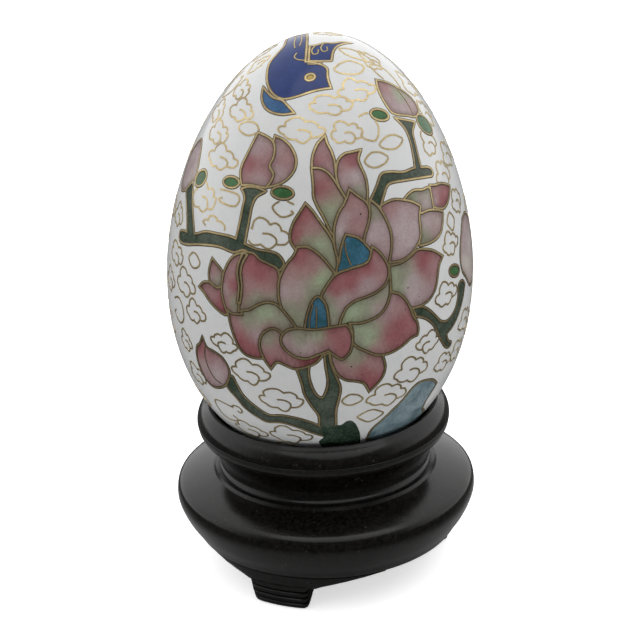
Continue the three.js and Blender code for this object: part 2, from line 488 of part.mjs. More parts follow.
function seatRing() {
  const band = [SEAT_HIGH, (SEAT_LOW + SEAT_HIGH) / 2, SEAT_LOW].map(
    (z) => [radiusAt(z) + SEAT_CLEAR, EGG_FLOOR + z]);
  const wellRadius = band[2][0];
  const bore = SPIGOT_RADIUS - RING_WALL;
  const foot = PARTING_HEIGHT - SPIGOT_DEPTH;
  const neck = NECK_RADIUS;
  const profile = [
    [bore, foot],
    [SPIGOT_RADIUS, foot],
    [SPIGOT_RADIUS, PARTING_HEIGHT],
    [neck + 0.4, PARTING_HEIGHT],
    [neck, PARTING_HEIGHT + RING_HEIGHT * 0.08],
    [neck + 0.5, PARTING_HEIGHT + RING_HEIGHT * 0.2],
    [(neck + COLLAR_RADIUS) / 2, PARTING_HEIGHT + RING_HEIGHT * 0.31],
    [COLLAR_RADIUS - 0.9, PARTING_HEIGHT + RING_HEIGHT * 0.4],
    [COLLAR_RADIUS - 0.25, PARTING_HEIGHT + RING_HEIGHT * 0.55],
    [COLLAR_RADIUS, PARTING_HEIGHT + RING_HEIGHT * 0.68],
    [COLLAR_RADIUS - 0.3, PARTING_HEIGHT + RING_HEIGHT * 0.82],
    [COLLAR_RADIUS - 1.1, PARTING_HEIGHT + RING_HEIGHT * 0.95],
    [SEAT_RADIUS + 0.6, LIP_HEIGHT + 0.1],
    ...band,
    [wellRadius, EGG_FLOOR + SEAT_LOW / 2],
    [bore, PARTING_HEIGHT + RING_HEIGHT * 0.27],
  ];
  addPiece('seat_ring', lathe(closeLoop(profile)), 0x141211, 0.3, 0, false);
}

function baseBlock() {
  const socket = SPIGOT_RADIUS + SPIGOT_CLEAR;
  const bore = SPIGOT_RADIUS - RING_WALL - BASE_LEDGE;
  const top = PARTING_HEIGHT - FOOT_CLEAR;
  const ledge = PARTING_HEIGHT - SPIGOT_DEPTH - SPIGOT_CLEAR;
  const widest = FOOT_HEIGHT + BASE_WIDEST;
  const above = top - widest;
  const shoulder = NECK_RADIUS + (BASE_RADIUS - NECK_RADIUS) * 0.4;
  const profile = [
    [bore, FOOT_HEIGHT + 2],
    [FOOT_INNER - 1, FOOT_HEIGHT + 2],
    [FOOT_INNER - 0.6, FOOT_HEIGHT],
    [SKIRT_RADIUS, FOOT_HEIGHT],
    [SKIRT_RADIUS + 0.9, FOOT_HEIGHT + 1.6],
    [BASE_RADIUS - 0.8, widest - 2.6],
    [BASE_RADIUS, widest],
    [BASE_RADIUS - 0.7, widest + above * 0.36],
    [(BASE_RADIUS + shoulder) / 2, widest + above * 0.66],
    [shoulder, top - above * 0.15],
    [NECK_RADIUS + 0.6, top],
    [socket, top],
    [socket, ledge],
    [bore, ledge],
  ];
  addPiece('base_block', lathe(closeLoop(profile)), 0x141211, 0.3, 0, false);
}

// Bracket foot: a grooved ring of the stand's curve cut to the foot's front outline.
function feet() {
  const top = FOOT_HEIGHT - FOOT_CLEAR;
  const face = SKIRT_RADIUS - 0.3;
  const groove = top / 5;
  const grooved = [[FOOT_INNER, 0], [face - 1.2, 0], [face - 0.9, groove * 0.85], [face - 0.5, groove],
    [face - 0.8, groove * 1.85], [face - 0.3, groove * 2], [face - 0.6, groove * 2.85], [face, groove * 3.1],
    [face, top], [FOOT_INNER, top]];
  const ring = lathe(closeLoop(grooved));
  // half of the front outline: [degrees from the middle, height], with a wing that runs out under the skirt
  const half = [[0, -1], [12.6, -1, 1], [13.2, top * 0.1], [14.6, top * 0.57, 1], [17.5, top * 0.73],
    [24, top * 0.85], [38, top * 0.97, 1], [38, top + 2, 1]];
  const outline = [...half, ...half.slice(1).reverse().map(([a, z, c]) => [-a, z, c])];
  for (const [name, angle] of Object.entries(FOOT_ANGLES)) {
    const section = smoothOutline(outline);
    const shape = new THREE.Shape(section.map(([a, z]) => new THREE.Vector2(a, z)));
    const g = new THREE.ExtrudeGeometry(shape, { depth: 1, bevelEnabled: false });
    const position = g.attributes.position;
    for (let i = 0; i < position.count; i += 1) {
      const a = THREE.MathUtils.degToRad(position.getX(i) + angle);
      const r = position.getZ(i) > 0.5 ? SKIRT_RADIUS * 1.5 : FOOT_INNER * 0.7;
      position.setXYZ(i, r * Math.sin(a), -r * Math.cos(a), position.getY(i));
    }
    addPiece(name, mainBody(ring.intersect(solid(g))), 0x141211, 0.3, 0, false);
  }
}

// ---------------------------------------------------------------- assembly
// the lean turns the egg about the middle of the sphere that its seat band lies on
function seatCentre() {
  const z = (SEAT_LOW + SEAT_HIGH) / 2;
  const slope = (radiusAt(z + 0.05) - radiusAt(z - 0.05)) / 0.1;
  return z + radiusAt(z) * slope;
}

function toMesh({ name, piece, colour, roughness, metalness, onEgg }) {
  const { vertProperties, triVerts } = piece.getMesh();
  const g = new THREE.BufferGeometry();
  g.setAttribute('position', new THREE.BufferAttribute(new Float32Array(vertProperties), 3));
  g.setIndex(new THREE.BufferAttribute(new Uint32Array(triVerts), 1));
  g.computeVertexNormals();
  const material = new THREE.MeshStandardMaterial({ color: colour, roughness, metalness, flatShading: true });
  const mesh = new THREE.Mesh(g, material);
  mesh.name = name;
  if (onEgg) {
    const pivot = new THREE.Vector3(0, 0, seatCentre());
    mesh.rotation.y = THREE.MathUtils.degToRad(EGG_LEAN);
    const turned = pivot.clone().applyEuler(mesh.rotation);
    mesh.position.set(-turned.x, -turned.y, EGG_FLOOR + pivot.z - turned.z);
  }
  return mesh;
}

seatRing();
baseBlock();
feet();
copperShell();
enamelAndWires();

const group = new THREE.Group();
group.name = 'enamel_egg_on_stand';
for (const entry of pieces) group.add(toMesh(entry));

export default group;
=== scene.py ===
import math
import random

import bmesh
import bpy
import numpy as np
from mathutils import Matrix, Vector
from mathutils.geometry import delaunay_2d_cdt
from mathutils.kdtree import KDTree


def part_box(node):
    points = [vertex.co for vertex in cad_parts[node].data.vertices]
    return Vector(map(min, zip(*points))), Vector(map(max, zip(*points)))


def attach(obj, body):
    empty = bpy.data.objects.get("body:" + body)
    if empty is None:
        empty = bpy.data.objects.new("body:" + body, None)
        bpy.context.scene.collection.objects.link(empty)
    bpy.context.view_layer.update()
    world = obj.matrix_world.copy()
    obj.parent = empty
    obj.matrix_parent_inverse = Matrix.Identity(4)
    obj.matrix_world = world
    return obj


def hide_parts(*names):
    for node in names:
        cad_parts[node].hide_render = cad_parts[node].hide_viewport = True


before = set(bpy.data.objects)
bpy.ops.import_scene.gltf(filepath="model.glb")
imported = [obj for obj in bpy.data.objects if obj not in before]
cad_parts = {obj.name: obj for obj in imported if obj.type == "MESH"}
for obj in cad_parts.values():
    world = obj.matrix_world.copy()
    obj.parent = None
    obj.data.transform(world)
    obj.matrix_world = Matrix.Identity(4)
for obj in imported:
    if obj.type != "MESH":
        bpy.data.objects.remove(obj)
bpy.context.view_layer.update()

bpy.ops.object.select_all(action="DESELECT")
MM = 0.001


# ---------------------------------------------------------------------------------------------
# The base is a cushion of hardwood, turned on a lathe with a low domed top, a full round edge
# and a skirt below. It is stained and lacquered black, then handled.
TURNED_SIDES = 160
PROFILE_STEP = 0.35
PROFILE_MERGE = 0.02
CREASE = math.radians(38)


def feed(tree, node, sockets):
    """Gives each input, by name or number, a value or another node's output."""
    for key, value in sockets.items():
        if isinstance(value, bpy.types.NodeSocket):
            tree.links.new(value, node.inputs[key])
        else:
            node.inputs[key].default_value = value
    return node


def add(tree, kind, sockets=None, **settings):
    """Adds a node with its settings and its inputs."""
    node = tree.nodes.new(kind)
    for name, value in settings.items():
        setattr(node, name, value)
    return feed(tree, node, sockets or {})


def start_group(name, inputs, outputs):
    group = bpy.data.node_groups.new(name, "ShaderNodeTree")
    for label, value in inputs.items():
        group.interface.new_socket(
            name=label, in_out="INPUT", socket_type="NodeSocketFloat").default_value = value
    for label in outputs:
        group.interface.new_socket(name=label, in_out="OUTPUT", socket_type="NodeSocketFloat")
    return group, group.nodes.new("NodeGroupInput").outputs, group.nodes.new("NodeGroupOutput")


def start_material(name):
    material = bpy.data.materials.new(name)
    material.use_nodes = True
    return material, material.node_tree, material.node_tree.nodes["Principled BSDF"]


def place_in(tree):
    return add(tree, "ShaderNodeTexCoord").outputs["Object"]


def noise(tree, scale, detail, roughness=0.5):
    return add(tree, "ShaderNodeTexNoise", {
        "Vector": place_in(tree), "Scale": scale, "Detail": detail,
        "Roughness": roughness}).outputs["Fac"]


def calc(tree, operation, *values):
    return add(tree, "ShaderNodeMath", dict(enumerate(values)), operation=operation).outputs[0]


def ramp(tree, value, low, high):
    """Turns the span from low to high into 0 to 1."""
    return add(tree, "ShaderNodeMapRange", {
        "Value": value, "From Min": low, "From Max": high}).outputs["Result"]


def spread(tree, value, low, high):
    """Turns 0 to 1 into the span from low to high."""
    return add(tree, "ShaderNodeMapRange", {
        "Value": value, "To Min": low, "To Max": high}).outputs["Result"]


def mix_colour(tree, factor, first, second, blend="MIX"):
    first, second = ((*colour, 1) if isinstance(colour, tuple) else colour
                     for colour in (first, second))
    return add(tree, "ShaderNodeMix", {0: factor, 6: first, 7: second},
               data_type="RGBA", blend_type=blend).outputs[2]


def bump(tree, height, strength, distance):
    return add(tree, "ShaderNodeBump", {
        "Height": height, "Strength": strength, "Distance": distance}).outputs["Normal"]


def dust_group():
    """Fine specks and a soft film that settle on a polished surface."""
    group, given, out = start_group(
        "dust", {"Speck Size": 900.0, "Film Size": 60.0}, ["Specks", "Film"])
    specks = add(group, "ShaderNodeTexVoronoi", {
        "Vector": place_in(group), "Scale": given["Speck Size"]})
    fine = ramp(group, specks.outputs["Distance"], low=0.2, high=0.08)
    some = ramp(group, noise(group, scale=420.0, detail=2.0), low=0.5, high=0.66)
    film = noise(group, given["Film Size"], detail=6.0, roughness=0.6)
    feed(group, out, {"Specks": calc(group, "MULTIPLY", fine, some),
                      "Film": ramp(group, film, low=0.35, high=0.75)})
    return group


def black_lacquer():
    material, tree, shader = start_material("black_lacquer")
    dust = add(tree, "ShaderNodeGroup", node_tree=dust_group()).outputs
    grit = ramp(tree, noise(tree, scale=1700.0, detail=3.0), low=0.35, high=0.8)
    colour = mix_colour(tree, grit, (0.0012, 0.0011, 0.001), (0.011, 0.0095, 0.008))
    specks = ramp(tree, dust["Specks"], low=0.0, high=3.0)
    colour = mix_colour(tree, specks, colour, (0.1, 0.095, 0.085))
    feed(tree, shader, {
        "Base Color": colour, "Roughness": spread(tree, dust["Film"], low=0.16, high=0.28),
        "Normal": bump(tree, noise(tree, scale=240.0, detail=4.0), strength=0.12, distance=0.0004),
        "IOR": 1.5, "Specular IOR Level": 0.28})
    return material


LACQUER = black_lacquer()


def bend_through(points, closed, step):
    """A smooth line through the points; a third value of 1 marks a sharp corner."""
    count = len(points)
    spots = [np.array(p[:2], float) for p in points]
    sharp = [len(p) > 2 and p[2] == 1 for p in points]
    line = []
    for i in range(count if closed else count - 1):
        j = (i + 1) % count
        p, q = spots[i], spots[j]
        before = p if sharp[i] or (not closed and i == 0) else spots[i - 1]
        after = q if sharp[j] or (not closed and j == count - 1) else spots[(j + 1) % count]
        m0, m1 = 0.5 * (q - before), 0.5 * (after - p)
        pieces = max(1, math.ceil(np.linalg.norm(q - p) / step))
        for k in range(pieces):
            t = k / pieces
            line.append((2 * t**3 - 3 * t**2 + 1) * p + (t**3 - 2 * t**2 + t) * m0
                        + (3 * t**2 - 2 * t**3) * q + (t**3 - t**2) * m1)
    if not closed:
        line.append(spots[-1])
    return np.array(line)


def turned(name, template):
    """Turned piece: a ring of edges is drawn along the template [radius, height] and closed."""
    line = bend_through(template, False, PROFILE_STEP)
    line = line[np.r_[True, np.linalg.norm(np.diff(line, axis=0), axis=1) > PROFILE_MERGE]]
    bpy.ops.object.select_all(action="DESELECT")
    bpy.ops.mesh.primitive_circle_add(vertices=TURNED_SIDES, radius=line[0][0] * MM,
                                      location=(0, 0, line[0][1] * MM))
    piece = bpy.context.object
    piece.name = piece.data.name = name
    bpy.ops.object.transform_apply(location=True)
    bpy.ops.object.mode_set(mode="EDIT")
    bpy.ops.mesh.select_mode(type="VERT")
    bpy.ops.mesh.select_all(action="SELECT")
    for (r0, z0), (r1, z1) in zip(line, line[1:]):
        bpy.ops.mesh.extrude_region_move(TRANSFORM_OT_translate={"value": (0, 0, (z1 - z0) * MM)})
        bpy.ops.transform.resize(value=(r1 / r0, r1 / r0, 1), center_override=(0, 0, z1 * MM))
    bpy.ops.mesh.select_all(action="DESELECT")
    bpy.ops.mesh.select_non_manifold()
    bpy.ops.mesh.bridge_edge_loops()
    bpy.ops.mesh.select_all(action="SELECT")
    bpy.ops.mesh.normals_make_consistent(inside=False)
    bpy.ops.object.mode_set(mode="OBJECT")
    bpy.ops.object.shade_smooth_by_angle(angle=CREASE)
    return piece


def give(piece, material):
    piece.data.materials.clear()
    piece.data.materials.append(material)


def make_base():
    low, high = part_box("base_block")
    foot, top = low.z / MM, high.z / MM
    widest = (high.x - low.x) / 2 / MM
    bore, socket = 9.65, 15.8
    template = [
        (bore, foot + 2.0, 1), (16.4, foot + 2.0, 1), (16.8, foot + 0.1, 1), (21.6, foot + 0.1, 1),
        (22.1, foot + 0.4), (22.9, foot + 1.7), (23.9, foot + 3.2), (24.6, foot + 4.6),
        (widest - 0.15, foot + 5.8), (widest, foot + 6.6), (widest - 0.02, foot + 7.3),
        (widest - 0.12, foot + 8.0), (24.85, foot + 8.6), (24.35, foot + 9.05), (23.6, foot + 9.4),
        (22.4, foot + 9.85), (21.0, foot + 10.3), (19.6, foot + 10.7), (18.9, foot + 10.9, 1),
        (18.6, top, 1), (socket, top, 1), (socket, foot + 7.4, 1), (bore, foot + 7.4, 1)]
    base = turned("base_turned", template)
    give(base, LACQUER)
    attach(base, "stand")
    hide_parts("base_block")


make_base()


# ---------------------------------------------------------------------------------------------
# The seat ring is turned from the same wood: a big rolled collar, a fine bead under it and a
# hollow neck. Its spigot is glued into the base, and the egg rests on the chamfer inside.
def make_seat_ring():
    low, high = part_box("seat_ring")
    foot, lip = low.z / MM, high.z / MM - 0.1
    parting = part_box("base_block")[1].z / MM + 0.06
    collar = (high.x - low.x) / 2 / MM
    bore, spigot = 12.65, 15.65
    template = [
        (bore, foot, 1), (spigot, foot, 1), (spigot, parting, 1), (17.9, parting, 1),
        (17.85, parting + 0.25), (17.6, parting + 0.5), (17.4, parting + 1.0),
        (17.35, parting + 2.2), (17.7, parting + 3.4), (18.4, parting + 4.7), (19.3, parting + 5.6),
        (20.1, parting + 5.85, 1), (20.55, parting + 6.1), (20.95, parting + 6.8),
        (collar - 0.03, parting + 7.75), (collar - 0.01, parting + 7.9, 1),
        (collar - 0.14, parting + 8.0, 1), (collar - 0.01, parting + 8.1, 1),
        (collar - 0.05, parting + 8.6), (collar - 0.3, parting + 9.4),
        (collar - 0.8, parting + 10.2), (collar - 1.5, parting + 10.8), (19.3, lip - 0.12),
        (18.8, lip - 0.3), (18.1, lip - 1.0, 1), (17.2, lip - 2.2, 1), (16.6, lip - 3.2),
        (15.2, lip - 6.2), (bore, parting + 2.6, 1)]
    ring = turned("seat_ring_turned", template)
    give(ring, LACQUER)
    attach(ring, "stand")
    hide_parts("seat_ring")


make_seat_ring()


# ---------------------------------------------------------------------------------------------
# Three bracket feet are carved from the same wood and glued under the skirt. Each is a grooved
# block that follows the skirt, with a thin wing that runs out along its lower edge.
# Sections are [radius, height]; edges are [degrees round, height].
BLOCK_SECTION = [(17.4, 0.0), (20.3, 0.0), (20.65, 0.3), (20.75, 0.85), (20.45, 1.15), (20.95, 1.4),
                 (21.05, 1.95), (20.7, 2.25), (21.15, 2.5), (21.25, 3.1), (20.9, 3.4),
                 (21.35, 3.65), (21.4, 4.5), (21.15, 4.95), (20.9, 5.2), (20.9, 6.0), (21.3, 6.32),
                 (17.4, 6.32)]
BLOCK_EDGE = [(-15, 4.2), (-14.9, 3.0), (-14.7, 1.9), (-14.4, 1.0), (-13.8, 0.4), (-12.8, 0.06),
              (-11, 0), (-9, 0), (-6, 0), (-3, 0), (0, 0), (3, 0), (6, 0), (9, 0), (10.6, 0.04),
              (12, 0.35), (12.9, 0.9), (13.5, 1.8), (14.1, 2.6), (15.2, 3.6)]
WING_SECTION = [(17.6, 0.0), (20.6, 0.0), (21.15, 0.5), (21.4, 1.8), (21.5, 3.4), (21.6, 5.0),
                (21.6, 6.32), (17.6, 6.32)]
WING_EDGE = [(-48, 6.2), (-44, 6.0), (-38, 5.7), (-30, 5.25), (-24, 4.85), (-19, 4.45),
             (-16.4, 4.1), (-13, 3.9), (-5, 3.9), (5, 3.9), (13, 3.9), (16.4, 4.1), (19, 4.45),
             (24, 4.85), (30, 5.25), (38, 5.7), (44, 6.0), (48, 6.2)]
FOOT_CREASE = math.radians(46)
# the blocks of the two rear feet are cut a little narrower
FOOT_SHARES = {"foot_front": 1.0, "foot_right": 0.8, "foot_left": 0.8}


def carve(section, lower_edge):
    """A section is pushed round the stand's axis and planed to the lower edge."""
    top = section[-1][1]
    bpy.ops.object.select_all(action="DESELECT")
    bpy.ops.mesh.primitive_circle_add(vertices=len(section), radius=0.01, fill_type="NGON")
    piece = bpy.context.object
    first = math.radians(lower_edge[0][0])
    scale = (top - lower_edge[0][1]) / top
    for vertex, (r, z) in zip(piece.data.vertices, section):
        height = top - (top - z) * scale
        vertex.co = (r * MM * math.sin(first), -r * MM * math.cos(first), height * MM)
    bpy.ops.object.mode_set(mode="EDIT")
    bpy.ops.mesh.select_all(action="SELECT")
    for (a0, e0), (a1, e1) in zip(lower_edge, lower_edge[1:]):
        bpy.ops.mesh.extrude_region_move()
        bpy.ops.transform.rotate(value=-math.radians(a1 - a0), orient_axis="Z",
                                 center_override=(0, 0, 0))
        bpy.ops.transform.resize(value=(1, 1, (top - e1) / (top - e0)),
                                 center_override=(0, 0, top * MM))
    bpy.ops.mesh.select_all(action="SELECT")
    bpy.ops.mesh.normals_make_consistent(inside=False)
    bpy.ops.object.mode_set(mode="OBJECT")
    return piece


def carve_foot(share):
    wing = carve(WING_SECTION, WING_EDGE)
    block = carve(BLOCK_SECTION, [(degrees * share, edge) for degrees, edge in BLOCK_EDGE])
    wing.select_set(True)
    bpy.ops.object.join()
    return block


def make_feet():
    for node, share in FOOT_SHARES.items():
        low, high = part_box(node)
        middle = (low + high) / 2
        foot = carve_foot(share)
        foot.name = foot.data.name = node + "_carved"
        foot.data.transform(Matrix.Rotation(math.atan2(middle.x, -middle.y), 4, "Z"))
        bpy.ops.object.shade_smooth_by_angle(angle=FOOT_CREASE)
        give(foot, LACQUER)
        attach(foot, "stand")
        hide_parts(node)


make_feet()


# ---------------------------------------------------------------------------------------------
# The egg's core is thin copper, spun in two halves and brazed round the middle. It stays bare
# inside, and shows only through the vent, so the frame's own two solids keep their shape.
def bare_copper():
    material, tree, shader = start_material("bare_copper")
    stain = noise(tree, scale=90.0, detail=6.0)
    spun = add(tree, "ShaderNodeTexWave", {
        "Vector": place_in(tree), "Scale": 900.0, "Distortion": 1.5},
        bands_direction="Z").outputs["Fac"]
    feed(tree, shader, {
        "Base Color": mix_colour(tree, ramp(tree, stain, low=0.35, high=0.7), (0.62, 0.3, 0.18),
                                 (0.28, 0.12, 0.08)),
        "Roughness": spread(tree, stain, low=0.3, high=0.6),
        "Normal": bump(tree, spun, strength=0.15, distance=0.0001), "Metallic": 1.0})
    return material


COPPER = bare_copper()
for half in ("copper_shell_upper", "copper_shell_lower"):
    give(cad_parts[half], COPPER)


# ---------------------------------------------------------------------------------------------
# The drawing on the egg. Glass enamel of one colour fills each cell between the wires, and white
# enamel fills the rest. All of it is fired, then ground and polished flush with the wires.
EGG_HEIGHT = 71.4
EGG_RADIUS = 25.0
EGG_TAPER = 0.1265
EGG_BLUNT = 0.0235
EGG_LEAN = math.radians(2.6)
SEAT_HIGH = 9.2
SEAT_MIDDLE = 8.15
ENAMEL_THICK = 1.0
VENT_RADIUS = 1.3


def oval(across, up, wide, high, tilt=0.0):
    turns = [i * math.pi / 5 for i in range(10)]
    return [(across + wide * math.cos(t) - tilt * high * math.sin(t),
             up + high * math.sin(t) + tilt * math.cos(t)) for t in turns]


